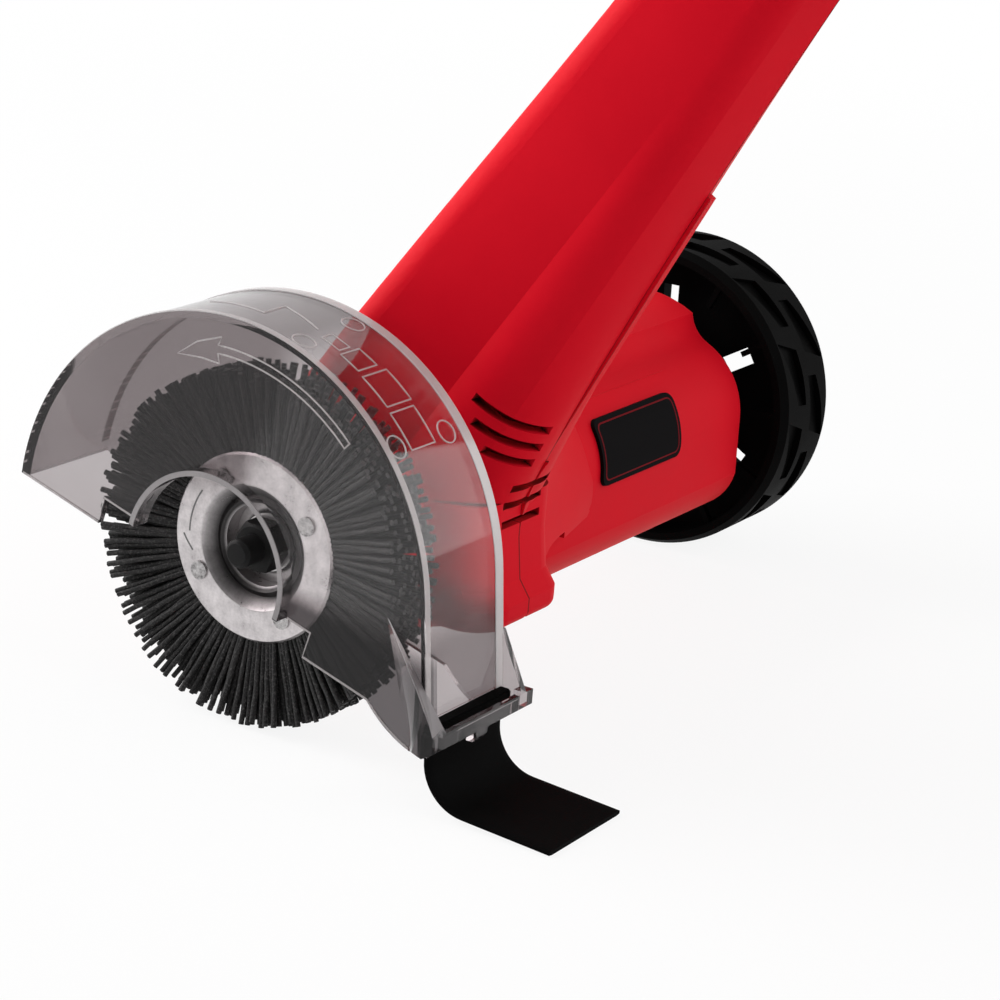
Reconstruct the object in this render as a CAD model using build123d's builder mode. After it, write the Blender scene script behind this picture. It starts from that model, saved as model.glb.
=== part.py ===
from build123d import *
from math import acos, atan2, cos, degrees, pi, radians, sin, sqrt, tan
import os

# Electric patio cleaner: a motor head with a joint brush and a guide wheel on one axis,
# carried by a leaning two-part tube with a telescopic handle.
# Millimetres. +X runs along the spindle out of the brush, +Y back to the user, +Z up.
# The origin is on the spindle axis, in the outer plane of the brush hub.

# Driving dimensions: brush
brush_radius = 50.0
brush_tip_width = 20.0
hub_radius = 26.5
hub_sheet = 1.2
hub_dish_radius = 11.5
hub_rivet_circle = 20.6
hub_rivet_radius = 1.7
hub_rivet_count = 4
strand_width = 1.15
strand_rows = 4
strands_per_row = 96
strand_row_step = 1.35
strand_root_radius = 23.5
backing_outer_radius = 24.6

# Driving dimensions: spindle, nut and bearing
stud_radius = 4.0
stud_reach = 7.4
journal_radius = 6.0
spindle_collar_radius = 12.0
spindle_collar_length = 4.0
nut_across_flats = 13.0
nut_height = 6.5
washer_radius = 8.0
washer_thickness = 1.6
bearing_outer_radius = 14.0
bearing_width = 8.0
seal_radius = 10.0

# Driving dimensions: planetary gears
gear_module = 1.0
sun_teeth = 12
planet_teeth = 18
gear_width = 10.0
gear_addendum = 0.8
gear_dedendum = 1.05
gear_backlash = 0.16
pressure_angle = 20.0
planet_count = 3
planet_pin_radius = 2.0
carrier_thickness = 3.5
carrier_rim = 4.5
ring_wall = 4.0
gear_plate_thickness = 3.5

# Driving dimensions: motor
motor_radius = 22.0
motor_length = 66.0
motor_can_wall = 2.0
motor_shaft_radius = 2.5
motor_bearing_radius = 8.0
motor_bearing_width = 5.0
magnet_thickness = 3.6
armature_radius = 15.4
armature_length = 32.0
armature_slots = 8
armature_slot_width = 2.2
armature_slot_depth = 5.0
commutator_radius = 6.5
commutator_length = 7.0
carbon_brush_width = 5.0
carbon_brush_height = 4.0
fan_radius = 17.5
fan_blades = 9

# Driving dimensions: guard
guard_radius = 67.3
guard_front_x = 17.5
guard_rear_x = -18.8
guard_wall = 2.0
guard_chord_drop = 9.05
guard_chord_tilt = 15.8
guard_skirt_lean = 5.3
guard_skirt_bottom = -34.0
guard_arch_radius = 24.5
guard_lip_reach = 4.0
guard_lip_wall = 1.5
guard_notch_front = -38.0
guard_notch_back = 34.0
guard_notch_top = -1.6
guard_screw_circle = 32.2

# Driving dimensions: rubber flap and its bracket on the guard
flap_width = 34.6
flap_thickness = 1.3
flap_reach = 109.0
flap_bend_radius = 12.6
flap_slope = 3.0
flap_bead = 2.5
bracket_depth = 5.7
bracket_floor = 6.5
bracket_gusset_top = -9.8
bracket_lip = 1.7
bracket_flare = 6.0
bracket_ear = 5.0

# Driving dimensions: shells of the head
tube_lean = 30.7
shell_wall = 2.5
nose_wall = 2.5
drum_radius = 38.0
bulge_start = 8.9
bulge_end = 19.0
bulge_round = 8.0
bulge_bottom = -19.0
bulge_lobe_top = -12.5
bulge_crease = -7.7
bulge_waist = 4.0
bulge_top = 16.0
bulge_lobe_back = 57.3
bulge_crease_back = 53.8
bulge_waist_back = 52.4
bulge_edge_round = 3.0
barrel_radius = 37.5
barrel_bottom = -29.5
barrel_length = 155.0
belly_radius = 24.3
belly_back = 38.3
belly_height = 2.5
belly_edge = -15.5
belly_foot = 21.0
shoulder_back = 17.7
cheek_length = 62.0

# Driving dimensions: the leaning tube, at its foot, at the bend of its back, at its neck and at its top
tube_stations = [20.0, 110.0, 200.0, 300.0]
tube_front = [-29.6, -21.2, -12.8, -11.5]
tube_back = [40.3, 32.3, 29.3, 28.3]
tube_half_width = [23.2, 21.5, 19.85, 18.0]
tube_crease = [8.0, 12.9, 17.8, 20.0]
tube_ridge = [29.2, 27.2, 25.7, 25.0]
tube_ridge_side = [20.7, 15.1, 10.6, 9.6]
tube_back_bow = [5.2, 0.9, 0.06, 0.06]
tube_top = tube_stations[-1]
stem_p = 6.5
ledge_low = 52.0
ledge_top = 143.0
ledge_proud = 1.1
ledge_thickness = 3.0
vent_width = 2.6
vent_places = [(65.3, 17.0), (59.6, 20.5), (54.3, 26.5)]
vent_seam_gap = 6.5
seam_slot_heights = [20.4, 15.0, 9.4]
seam_slot_width = 2.2
seam_slot_length = 9.5
badge_length = 46.0
badge_height = 20.0
badge_thickness = 1.2
badge_pad_length = 66.0
badge_pad_height = 31.0
badge_pad_proud = 0.4

# Driving dimensions: wheel
wheel_radius = 50.0
wheel_width = 32.0
wheel_rim_radius = 46.0
wheel_web = 5.0
wheel_web_depth = 10.0
wheel_windows = 6
wheel_window_width = 5.4
wheel_window_inner = 17.0
wheel_window_outer = 35.6
wheel_window_angle = 31.0
wheel_ribs = 12
wheel_rib_width = 1.8
wheel_rib_angle = 3.0
wheel_hub_radius = 13.0
wheel_lugs = 12
lug_depth = 2.2
lug_angle = 26.0
axle_radius = 5.0
axle_seat = 14.0
axle_boss_radius = 10.0
axle_boss_reach = 5.5
wheel_cap_radius = 11.0
wheel_cap_thickness = 4.0

# Driving dimensions: telescopic tube, lock collar and guide bush
stem_radius = 12.5
stem_wall = 1.5
stem_low = 215.0
stem_top = 820.0
neck_radius = 17.5
neck_length = 42.0
bush_wall = 2.5
collar_wall = 4.0
collar_lip = 5.0
collar_flutes = 16

# Driving dimensions: rear handle
handle_low = 760.0
handle_half_width = 17.0
handle_neck_half = 17.0
grip_start = 840.0
grip_bend = 10.0
grip_length = 165.0
grip_half = 17.0
trigger_half_width = 6.5
trigger_pivot = 72.0
trigger_pin_radius = 2.0
lock_button_radius = 6.0
lock_button_place = 92.0
lock_button_proud = 3.6
gland_radius = 8.5
gland_bore_radius = 4.2
gland_length = 20.0
sleeve_wall = 1.5

# Driving dimensions: auxiliary handle
aux_place = 703.0
aux_clamp_length = 26.0
aux_clamp_wall = 5.5
aux_pivot_drop = 24.0
aux_boss_radius = 9.0
aux_boss_half = 16.0
aux_eye_width = 8.0
aux_eye_length = 26.0
aux_bar_radius = 8.0
aux_half_width = 56.0
aux_height = 104.0
aux_bolt_radius = 3.0
aux_knob_radius = 15.0
aux_rest_angle = 50.0

# Driving dimensions: fasteners and clearances
screw_radius = 1.5
screw_head_radius = 2.8
screw_head_height = 2.2
screw_grip = 9.0
shell_screw_grip = 5.0
screw_bite = 10.0
boss_radius = 3.4
running_gap = 0.05
free_gap = 0.5

# Stations along the spindle, from the guard inwards. The nut ends in the hub's outer plane.
hub_depth = 2 * hub_sheet + washer_thickness + nut_height
x_nose = guard_rear_x
x_bearing = x_nose - nose_wall
x_carrier = x_bearing - bearing_width - free_gap
x_gears = x_carrier - carrier_thickness - free_gap
x_plate = x_gears - gear_width - 2 * free_gap
x_motor = x_plate - gear_plate_thickness
x_seam = x_motor - 1.7
x_barrel_end = x_seam - barrel_length
x_motor_end = x_motor - motor_length
x_wheel = x_barrel_end - axle_boss_reach - free_gap
x_wheel_end = x_wheel - wheel_width
x_bulge = x_nose - bulge_start
x_bulge_end = x_seam - bulge_end

lean_sin = sin(radians(tube_lean))
lean_cos = cos(radians(tube_lean))
side_plane = Plane(origin=(x_seam, 0, 0), x_dir=(0, lean_cos, -lean_sin), z_dir=(1, 0, 0))

os.makedirs("parts", exist_ok=True)


def save(piece, name):
    """Label a finished piece and write it."""
    piece.label = name
    export_step(piece, f"parts/{name}.step")


def across(x):
    """Plane square to the spindle at station x, with sketch axes Y and Z."""
    return Plane.YZ.offset(x)


def tube_plane(s):
    """Plane square to the leaning tube at distance s, with sketch axes X and back."""
    return Plane(
        origin=(x_seam, s * lean_sin, s * lean_cos),
        x_dir=(1, 0, 0),
        z_dir=(0, lean_sin, lean_cos),
    )


def tube_yz(s, p):
    """Y and Z of a point at distance s up the tube and p behind the line through the spindle."""
    return (s * lean_sin + p * lean_cos, s * lean_cos - p * lean_sin)


def sleeve(radius, bore, x, length, mode=Mode.ADD):
    """Ring round the spindle axis, from station x along +X, in the piece being built."""
    with BuildSketch(across(x)) as section:
        Circle(radius)
        Circle(bore, mode=Mode.SUBTRACT)
    extrude(section.sketch, amount=length, mode=mode)


# Brush hub: two zinc-plated steel pressings, riveted through the bristle ring
with BuildPart() as brush_plate_outer:
    with BuildSketch(Plane.XY):
        with BuildLine():
            Polyline(
                (0, hub_radius - 0.6),
                (0, hub_dish_radius + 6),
                (-3.2, hub_dish_radius + 2.8),
                (-2.4, hub_dish_radius + 1.4),
                (-3.4, hub_dish_radius),
                (-hub_depth + 2 * hub_sheet, hub_dish_radius),
                (-hub_depth + 2 * hub_sheet, stud_radius + running_gap),
                (-hub_depth + hub_sheet, stud_radius + running_gap),
                (-hub_depth + hub_sheet, hub_dish_radius + hub_sheet),
                (-3.4 - hub_sheet, hub_dish_radius + hub_sheet),
                (-3.2 - hub_sheet, hub_dish_radius + 2.8 + hub_sheet),
                (-hub_sheet, hub_dish_radius + 6 + hub_sheet / 2),
                (-hub_sheet, hub_radius),
                (-0.6, hub_radius),
                close=True,
            )
        make_face()
    revolve(axis=Axis.X)
    with BuildSketch(across(0)):
        with PolarLocations(hub_rivet_circle, hub_rivet_count, start_angle=31.3):
            Circle(hub_rivet_radius)
    extrude(amount=-hub_sheet, mode=Mode.SUBTRACT)
save(brush_plate_outer.part, "brush_plate_outer")

with BuildPart() as brush_plate_inner:
    with BuildSketch(Plane.XY):
        with BuildLine():
            Polyline(
                (-hub_depth, stud_radius + running_gap),
                (-hub_depth + hub_sheet, stud_radius + running_gap),
                (-hub_depth + hub_sheet, hub_radius),
                (-hub_depth + 0.6, hub_radius),
                (-hub_depth, hub_radius - 0.6),
                close=True,
            )
        make_face()
    revolve(axis=Axis.X)
    with BuildSketch(across(-hub_depth)):
        with PolarLocations(hub_rivet_circle, hub_rivet_count, start_angle=31.3):
            Circle(hub_rivet_radius)
    extrude(amount=hub_sheet, mode=Mode.SUBTRACT)
save(brush_plate_inner.part, "brush_plate_inner")

with BuildPart() as hub_rivets:
    rivet_head = hub_rivet_radius + 0.9
    with BuildSketch(across(-hub_depth)):
        with PolarLocations(hub_rivet_circle, hub_rivet_count, start_angle=31.3):
            Circle(hub_rivet_radius)
    extrude(amount=hub_depth)
    with BuildSketch(across(0), across(-hub_depth - 0.6)):
        with PolarLocations(hub_rivet_circle, hub_rivet_count, start_angle=31.3):
            Circle(rivet_head)
    extrude(amount=0.6)
save(hub_rivets.part, "hub_rivets")


# Bristle ring: rows of abrasive strands fanning out of a moulded backing ring
brush_middle = -hub_depth / 2
backing_half = hub_depth / 2 - hub_sheet
backing_inner_radius = hub_dish_radius + 6 + hub_sheet
strand_reach = brush_radius - strand_root_radius
row_spread = (strand_rows - 1) / 2 * strand_row_step
fan_angle = degrees(atan2(brush_tip_width / 2 - row_spread - strand_width / 2, strand_reach))
strand_planes = []
for row in range(strand_rows):
    row_offset = (row - (strand_rows - 1) / 2) * strand_row_step
    row_lean = radians(fan_angle * row_offset / row_spread)
    for strand in range(strands_per_row):
        turn = 2 * pi * (strand + 0.5 * (row % 2)) / strands_per_row
        strand_planes.append(
            Plane(
                origin=(
                    brush_middle + row_offset,
                    strand_root_radius * cos(turn),
                    strand_root_radius * sin(turn),
                ),
                x_dir=(0, -sin(turn), cos(turn)),
                z_dir=(sin(row_lean), cos(row_lean) * cos(turn), cos(row_lean) * sin(turn)),
            )
        )

with BuildPart() as brush_bristles:
    with BuildSketch(across(brush_middle)):
        Circle(backing_outer_radius)
        Circle(backing_inner_radius, mode=Mode.SUBTRACT)
        with PolarLocations(hub_rivet_circle, hub_rivet_count, start_angle=31.3):
            Circle(hub_rivet_radius, mode=Mode.SUBTRACT)
    extrude(amount=backing_half, both=True)
    with BuildSketch(*strand_planes):
        Rectangle(strand_width, strand_width)
    extrude(amount=strand_reach)
save(brush_bristles.part, "brush_bristles")


# Spindle with its collar and stud, and what clamps the brush on it
with BuildPart() as spindle:
    with BuildSketch(Plane.XY):
        with BuildLine():
            Polyline(
                (stud_reach, 0),
                (stud_reach, stud_radius - 1),
                (stud_reach - 1, stud_radius),
                (0, stud_radius),
                (0, stud_radius - 0.3),
                (-0.8, stud_radius - 0.3),
                (-0.8, stud_radius),
                (-hub_depth, stud_radius),
                (-hub_depth, spindle_collar_radius),
                (-hub_depth - spindle_collar_length, spindle_collar_radius),
                (-hub_depth - spindle_collar_length, journal_radius),
                (x_carrier - carrier_thickness, journal_radius),
                (x_carrier - carrier_thickness, 0),
                close=True,
            )
        make_face()
    revolve(axis=Axis.X)
save(spindle.part, "spindle")

x_washer = -hub_depth + 2 * hub_sheet
with BuildPart() as spindle_washer:
    sleeve(washer_radius, stud_radius + running_gap, x_washer, washer_thickness)
save(spindle_washer.part, "spindle_washer")

with BuildPart() as spindle_nut:
    with BuildSketch(across(x_washer + washer_thickness)):
        RegularPolygon(nut_across_flats / 2, 6, major_radius=False)
        Circle(stud_radius, mode=Mode.SUBTRACT)
    extrude(amount=nut_height)
    with BuildSketch(Plane.XY):
        with BuildLine():
            nut_face = x_washer + washer_thickness + nut_height
            Polyline(
                (nut_face - 1.4, nut_across_flats / 2 / cos(pi / 6)),
                (nut_face, nut_across_flats / 2 - 0.6),
                (nut_face, nut_across_flats),
                (nut_face - 1.4, nut_across_flats),
                close=True,
            )
        make_face()
    revolve(axis=Axis.X, mode=Mode.SUBTRACT)
save(spindle_nut.part, "spindle_nut")

with BuildPart() as spindle_seal:
    sleeve(seal_radius, journal_radius + running_gap, x_bearing, nose_wall)
save(spindle_seal.part, "spindle_seal")


def ball_bearing(outer, bore, width, x):
    """Sealed bearing as one ring with recessed shields, from station x towards -X."""
    land = (outer - bore) * 0.22
    recess = width * 0.1
    with BuildPart() as bearing:
        sleeve(outer, bore + running_gap, x - width, width)
        sleeve(outer - land, bore + land, x - recess, recess, mode=Mode.SUBTRACT)
        sleeve(outer - land, bore + land, x - width, recess, mode=Mode.SUBTRACT)
    return bearing.part


save(ball_bearing(bearing_outer_radius, journal_radius, bearing_width, x_bearing), "spindle_bearing")


# Planetary gears: the sun is on the motor shaft, the ring is fixed, the carrier drives the spindle
ring_teeth = sun_teeth + 2 * planet_teeth
planet_orbit = gear_module * (sun_teeth + planet_teeth) / 2
planet_angles = [90 + 360 * n / planet_count for n in range(planet_count)]
planet_places = [(planet_orbit * cos(radians(a)), planet_orbit * sin(radians(a))) for a in planet_angles]


def tooth_half_angle(teeth, radius, thinning):
    """Half the angle of an involute tooth at a radius, in radians."""
    pitch = gear_module * teeth / 2
    base = pitch * cos(radians(pressure_angle))
    pressure = acos(min(1.0, base / max(radius, base)))
    at_pitch = radians(pressure_angle)
    roll = (tan(at_pitch) - at_pitch) - (tan(pressure) - pressure)
    return pi / (2 * teeth) - thinning / (2 * pitch) + roll


def gear_outline(teeth, root, tip, thinning, first_tooth):
    """Closed outline of a spur gear, each flank drawn through three involute points."""
    middle = (root + tip) / 2
    points = []
    for tooth in range(teeth):
        centre = radians(first_tooth) + 2 * pi * tooth / teeth
        flank = [(r, tooth_half_angle(teeth, r, thinning)) for r in (root, middle, tip)]
        points += [(r * cos(centre - half), r * sin(centre - half)) for r, half in flank]
        points += [(r * cos(centre + half), r * sin(centre + half)) for r, half in reversed(flank)]
    return points


def spur_gear(teeth, x, width, bore, place, first_tooth):
    """External gear from station x towards -X, on an axis at place in the YZ plane."""
    pitch = gear_module * teeth / 2
    root = pitch - gear_dedendum * gear_module
    tip = pitch + gear_addendum * gear_module
    with BuildPart() as gear:
        with BuildSketch(across(x - width)):
            with Locations(place):
                Polygon(
                    *gear_outline(teeth, root, tip, gear_backlash, first_tooth),
                    align=None,
                )
                Circle(bore, mode=Mode.SUBTRACT)
        extrude(amount=width)
    return gear.part


sun_width = gear_width + free_gap
save(spur_gear(sun_teeth, x_gears, sun_width, motor_shaft_radius, (0, 0), 0), "sun_pinion")
planet_bore = planet_pin_radius + running_gap
for letter, angle, place in zip("abc", planet_angles, planet_places):
    first_tooth = angle + 180 / planet_teeth
    planet = spur_gear(planet_teeth, x_gears, gear_width, planet_bore, place, first_tooth)
    save(planet, f"planet_gear_{letter}")

ring_pitch = gear_module * ring_teeth / 2
ring_tip = ring_pitch - gear_addendum * gear_module
ring_root = ring_pitch + gear_dedendum * gear_module
ring_radius = ring_root + ring_wall
x_ring = x_carrier - carrier_thickness
with BuildPart() as ring_gear:
    with BuildSketch(across(x_plate)):
        Circle(ring_radius)
        Polygon(
            *gear_outline(ring_teeth, ring_tip, ring_root, -gear_backlash, 180 / ring_teeth),
            align=None,
            mode=Mode.SUBTRACT,
        )
    extrude(amount=x_ring - x_plate)
save(ring_gear.part, "ring_gear")

with BuildPart() as planet_carrier:
    with BuildSketch(across(x_ring)):
        Circle(planet_orbit + carrier_rim)
        Circle(journal_radius, mode=Mode.SUBTRACT)
        with Locations(*planet_places):
            Circle(planet_pin_radius, mode=Mode.SUBTRACT)
    extrude(amount=carrier_thickness)
save(planet_carrier.part, "planet_carrier")

with BuildPart() as planet_pins:
    with BuildSketch(across(x_plate + free_gap)):
        with Locations(*planet_places):
            Circle(planet_pin_radius)
    extrude(amount=x_carrier - x_plate - free_gap)
save(planet_pins.part, "planet_pins")

gear_plate_bore = gear_module * (sun_teeth / 2 + gear_addendum) + 1.2
motor_screw_circle = motor_radius - 6
with BuildPart() as gear_plate:
    with BuildSketch(across(x_motor)):
        Circle(ring_radius)
        Circle(gear_plate_bore, mode=Mode.SUBTRACT)
        with PolarLocations(motor_screw_circle, 2):
            Circle(screw_radius, mode=Mode.SUBTRACT)
    extrude(amount=gear_plate_thickness)
save(gear_plate.part, "gear_plate")


# Motor: can with two magnets, wound armature, commutator, brushes, fan and end cap
can_front = 2.0
x_motor_bearing = x_motor - can_front
x_fan = x_motor_bearing - motor_bearing_width - 3 * free_gap
fan_width = 6.0
winding_overhang = 4.0
x_armature = x_fan - fan_width - winding_overhang - free_gap
x_commutator = x_armature - armature_length - winding_overhang
x_end_cap = x_motor_end + 3.0
can_inner = motor_radius - motor_can_wall
end_boss_radius = motor_bearing_radius + 2
rear_bearing_x = x_motor_end

with BuildPart() as motor_can:
    sleeve(motor_radius, motor_shaft_radius + 2, x_end_cap, x_motor - x_end_cap)
    sleeve(can_inner, motor_shaft_radius, x_end_cap, x_motor_bearing - x_end_cap, mode=Mode.SUBTRACT)
    sleeve(end_boss_radius, motor_bearing_radius, x_motor_bearing - motor_bearing_width, motor_bearing_width)
    with BuildSketch(across(x_motor_bearing)):
        with PolarLocations(motor_screw_circle, 2):
            Circle(screw_radius)
    extrude(amount=can_front, mode=Mode.SUBTRACT)
save(motor_can.part, "motor_can")

with BuildPart() as motor_screws:
    with BuildSketch(across(x_motor_bearing)):
        with PolarLocations(motor_screw_circle, 2):
            Circle(screw_radius)
    extrude(amount=can_front + gear_plate_thickness)
save(motor_screws.part, "motor_screws")

with BuildPart() as field_magnets:
    magnet_length = armature_length + 4
    sleeve(can_inner, can_inner - magnet_thickness, x_armature + 2 - magnet_length, magnet_length)
    with BuildSketch(across(x_armature + 2 - magnet_length)):
        Rectangle(can_inner * 0.8, 3 * can_inner)
    extrude(amount=magnet_length, mode=Mode.SUBTRACT)
save(field_magnets.part, "field_magnets")

save(
    ball_bearing(motor_bearing_radius, motor_shaft_radius, motor_bearing_width, x_motor_bearing),
    "motor_front_bearing",
)
save(
    ball_bearing(motor_bearing_radius, motor_shaft_radius, motor_bearing_width, rear_bearing_x),
    "motor_rear_bearing",
)

with BuildPart() as armature:
    with BuildSketch(across(x_armature - armature_length)):
        Circle(armature_radius)
        slot_middle = armature_radius - armature_slot_depth / 2 + 1
        with PolarLocations(slot_middle, armature_slots):
            Rectangle(armature_slot_depth + 2, armature_slot_width, mode=Mode.SUBTRACT)
    extrude(amount=armature_length)
    with BuildSketch(across(x_armature - armature_length - winding_overhang + free_gap)):
        Circle(armature_radius - armature_slot_depth)
    extrude(amount=armature_length + 2 * winding_overhang - 2 * free_gap)
    with BuildSketch(across(rear_bearing_x - motor_bearing_width)):
        Circle(motor_shaft_radius)
    extrude(amount=x_gears - rear_bearing_x + motor_bearing_width)
save(armature.part, "armature")

with BuildPart() as commutator:
    sleeve(commutator_radius, motor_shaft_radius, x_commutator - commutator_length, commutator_length)
    with BuildSketch(across(x_commutator - commutator_length)):
        with PolarLocations(commutator_radius, armature_slots):
            Rectangle(2.0, 0.6)
    extrude(amount=commutator_length, mode=Mode.SUBTRACT)
save(commutator.part, "commutator")

with BuildPart() as motor_fan:
    fan_hub = motor_shaft_radius + 3
    fan_disc = 1.5
    sleeve(fan_hub, motor_shaft_radius, x_fan - fan_width, fan_width)
    sleeve(fan_radius, motor_shaft_radius, x_fan - fan_width, fan_disc)
    with BuildSketch(across(x_fan - fan_width + fan_disc)):
        with PolarLocations((fan_hub + fan_radius) / 2, fan_blades):
            Rectangle(fan_radius - fan_hub - 1, 1.4, rotation=25)
    extrude(amount=fan_width - fan_disc)
save(motor_fan.part, "motor_fan")

brush_middle_x = x_commutator - commutator_length / 2
brush_block_half = carbon_brush_height / 2 + 2
with BuildPart() as motor_end_cap:
    sleeve(motor_radius, motor_shaft_radius + 2, x_motor_end, x_end_cap - x_motor_end)
    sleeve(end_boss_radius, motor_bearing_radius, x_motor_end - motor_bearing_width, motor_bearing_width)
    with BuildSketch(across(x_end_cap)):
        with PolarLocations(can_inner * 0.66, 2):
            Rectangle(can_inner * 0.56, 2 * brush_block_half)
    extrude(amount=brush_middle_x + carbon_brush_width / 2 + 1.5 - x_end_cap)
    with BuildSketch(Plane.XZ):
        with Locations((brush_middle_x, 0)):
            Rectangle(carbon_brush_width, carbon_brush_height)
    extrude(amount=can_inner, both=True, mode=Mode.SUBTRACT)
save(motor_end_cap.part, "motor_end_cap")

with BuildPart() as carbon_brushes:
    brush_inner = commutator_radius + running_gap
    brush_reach = can_inner - 3 - brush_inner
    with Locations((brush_middle_x, brush_inner + brush_reach / 2, 0)):
        Box(carbon_brush_width, brush_reach, carbon_brush_height)
    with Locations((brush_middle_x, -brush_inner - brush_reach / 2, 0)):
        Box(carbon_brush_width, brush_reach, carbon_brush_height)
save(carbon_brushes.part, "carbon_brushes")


# Shells of the head and lower tube, split on a plane square to the spindle
def tube_back_at(s):
    """How far the back of the tube is behind the line through the spindle, at distance s."""
    low, high = (0, 1) if s < tube_stations[1] else (1, 2)
    share = (s - tube_stations[low]) / (tube_stations[high] - tube_stations[low])
    bow = 4 * share * (1 - share) * (1.1 if low == 0 else 0.5)
    return tube_back[low] + (tube_back[high] - tube_back[low]) * share - bow


def tube_section(s, front, back, half, crease, ridge, ridge_side, bow):
    """Half section of the tube at distance s: rounded front, two lobes with a valley, back strip.

    It starts 1 mm past the seam plane, which then cuts it off square.
    """
    valley = half - 2
    lobe = (
        (valley + ridge_side) / 2 + 0.13 * (ridge - crease),
        (crease + ridge) / 2 + 0.13 * (valley - ridge_side),
    )
    strip = (ridge_side / 2, (ridge + back) / 2 + bow)
    with BuildSketch(tube_plane(s), mode=Mode.PRIVATE) as section:
        with BuildLine():
            Polyline((0, back), (-1, back), (-1, front), (half - 8, front + 0.6))
            ThreePointArc((half - 8, front + 0.6), (half - 2.3, front + 3.1), (half, front + 9))
            ThreePointArc((half, front + 9), (half - 0.3, (front + 9 + crease) / 2), (valley, crease))
            ThreePointArc((valley, crease), lobe, (ridge_side, ridge))
            ThreePointArc((ridge_side, ridge), strip, (0, back))
        make_face()
    return section.sketch


def tube_hollow(s, front, back, half, crease, ridge, ridge_side, bow):
    """Half section of the room inside the tube at distance s."""
    inner = half - 2 - shell_wall
    with BuildSketch(tube_plane(s), mode=Mode.PRIVATE) as section:
        with BuildLine():
            Polyline(
                (-1, back - shell_wall - 0.2),
                (-1, front + shell_wall),
                (inner - 4, front + shell_wall),
                (inner, front + shell_wall + 5),
                (inner, crease - 1),
                (ridge_side - 1.4, ridge - 2.3),
                (ridge_side / 2, (ridge + back) / 2 + bow - shell_wall - 0.3),
                close=True,
            )
        make_face()
    return section.sketch


tube_values = list(
    zip(
        tube_stations,
        tube_front,
        tube_back,
        tube_half_width,
        tube_crease,
        tube_ridge,
        tube_ridge_side,
        tube_back_bow,
    )
)
with BuildPart() as tube_half:
    loft([tube_section(*values) for values in tube_values])
    split(bisect_by=across(x_seam), keep=Keep.TOP)
with BuildPart() as tube_room:
    loft([tube_hollow(*values) for values in tube_values])
    split(bisect_by=across(x_seam), keep=Keep.TOP)


def bulge_plan(z, back, reach, flat, inset):
    """Level section of the back of the gear housing, from the seam to reach, drawn in by inset."""
    side = 1 if reach > 0 else -1
    end = reach - side * inset
    edge = back - inset
    corner = end - side * flat
    turn = 0.293 * flat
    with BuildSketch(Plane(origin=(x_seam, 0, z)), mode=Mode.PRIVATE) as section:
        with BuildLine():
            Polyline((corner, edge), (0, edge), (0, 0), (end, 0), (end, edge - flat))
            ThreePointArc((end, edge - flat), (end - side * turn, edge - turn), (corner, edge))
        make_face()
    return section.sketch


def bulge_form(reach, flat, inset):
    """Back of the gear housing on one side of the seam, from its lobe up into the tube."""
    profile = [
        (bulge_bottom + inset, bulge_lobe_back),
        (bulge_lobe_top, bulge_lobe_back),
        (bulge_crease, bulge_crease_back),
        (bulge_waist, bulge_waist_back),
        (bulge_top, bulge_waist_back),
    ]
    with BuildPart(mode=Mode.PRIVATE) as form:
        loft([bulge_plan(z, back, reach, flat, inset) for z, back in profile], ruled=True)
        if not inset:
            under = form.faces().sort_by(Axis.Z)[0]
            fillet(under.edges().filter_by(lambda edge: edge.center().Y > flat), bulge_edge_round)
    return form.part


def barrel_section(inset):
    """Outline of the motor barrel: round front and top, a hollow shoulder, and a belly at the back."""
    belly_centre = belly_back - belly_radius
    belly_end = 66
    meet = (
        belly_centre + belly_radius * cos(radians(belly_end)),
        belly_height + belly_radius * sin(radians(belly_end)),
    )
    shoulder = (shoulder_back, sqrt(barrel_radius**2 - shoulder_back**2))
    hollow = ((meet[0] + shoulder[0]) / 2 - 0.9, (meet[1] + shoulder[1]) / 2 - 1.1)
    foot = (-sqrt(barrel_radius**2 - barrel_bottom**2), barrel_bottom)
    edge = (belly_back + 0.4, belly_edge)
    under = ((belly_foot + edge[0]) / 2 + 3.2, (barrel_bottom + belly_edge) / 2 - 2.7)
    with BuildSketch(mode=Mode.PRIVATE) as section:
        with BuildLine():
            Line(foot, (belly_foot, barrel_bottom))
            ThreePointArc((belly_foot, barrel_bottom), under, edge)
            Line(edge, (belly_back, belly_height))
            CenterArc((belly_centre, belly_height), belly_radius, 0, belly_end)
            ThreePointArc(meet, hollow, shoulder)
            ThreePointArc(shoulder, (-barrel_radius * cos(0.6), barrel_radius * sin(0.6)), foot)
        make_face()
        if inset:
            offset(amount=-inset, mode=Mode.REPLACE)
    return section.sketch


def cheek_section(x, top, middle, bottom):
    """Section of the blend between the gear housing and the belly of the barrel."""
    with BuildSketch(across(x), mode=Mode.PRIVATE) as section:
        with BuildLine():
            Polyline(bottom, (20, bottom[1]), (20, top[1]), top)
            ThreePointArc(top, middle, bottom)
        make_face()
    return section.sketch


def cheek():
    """Blend from the waist of the gear housing at the seam to the belly, in the piece being built."""
    low = bulge_crease - 0.3
    waist = cheek_section(
        x_seam,
        (bulge_waist_back + 7.2, 27),
        (bulge_waist_back, bulge_waist + 2),
        (bulge_crease_back, low),
    )
    belly = cheek_section(
        x_seam - cheek_length,
        (belly_back - 10.1, belly_height + 19.1),
        (belly_back - 1.4, belly_height + 7),
        (belly_back - 0.1, low),
    )
    loft([waist, belly], ruled=True)


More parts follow.
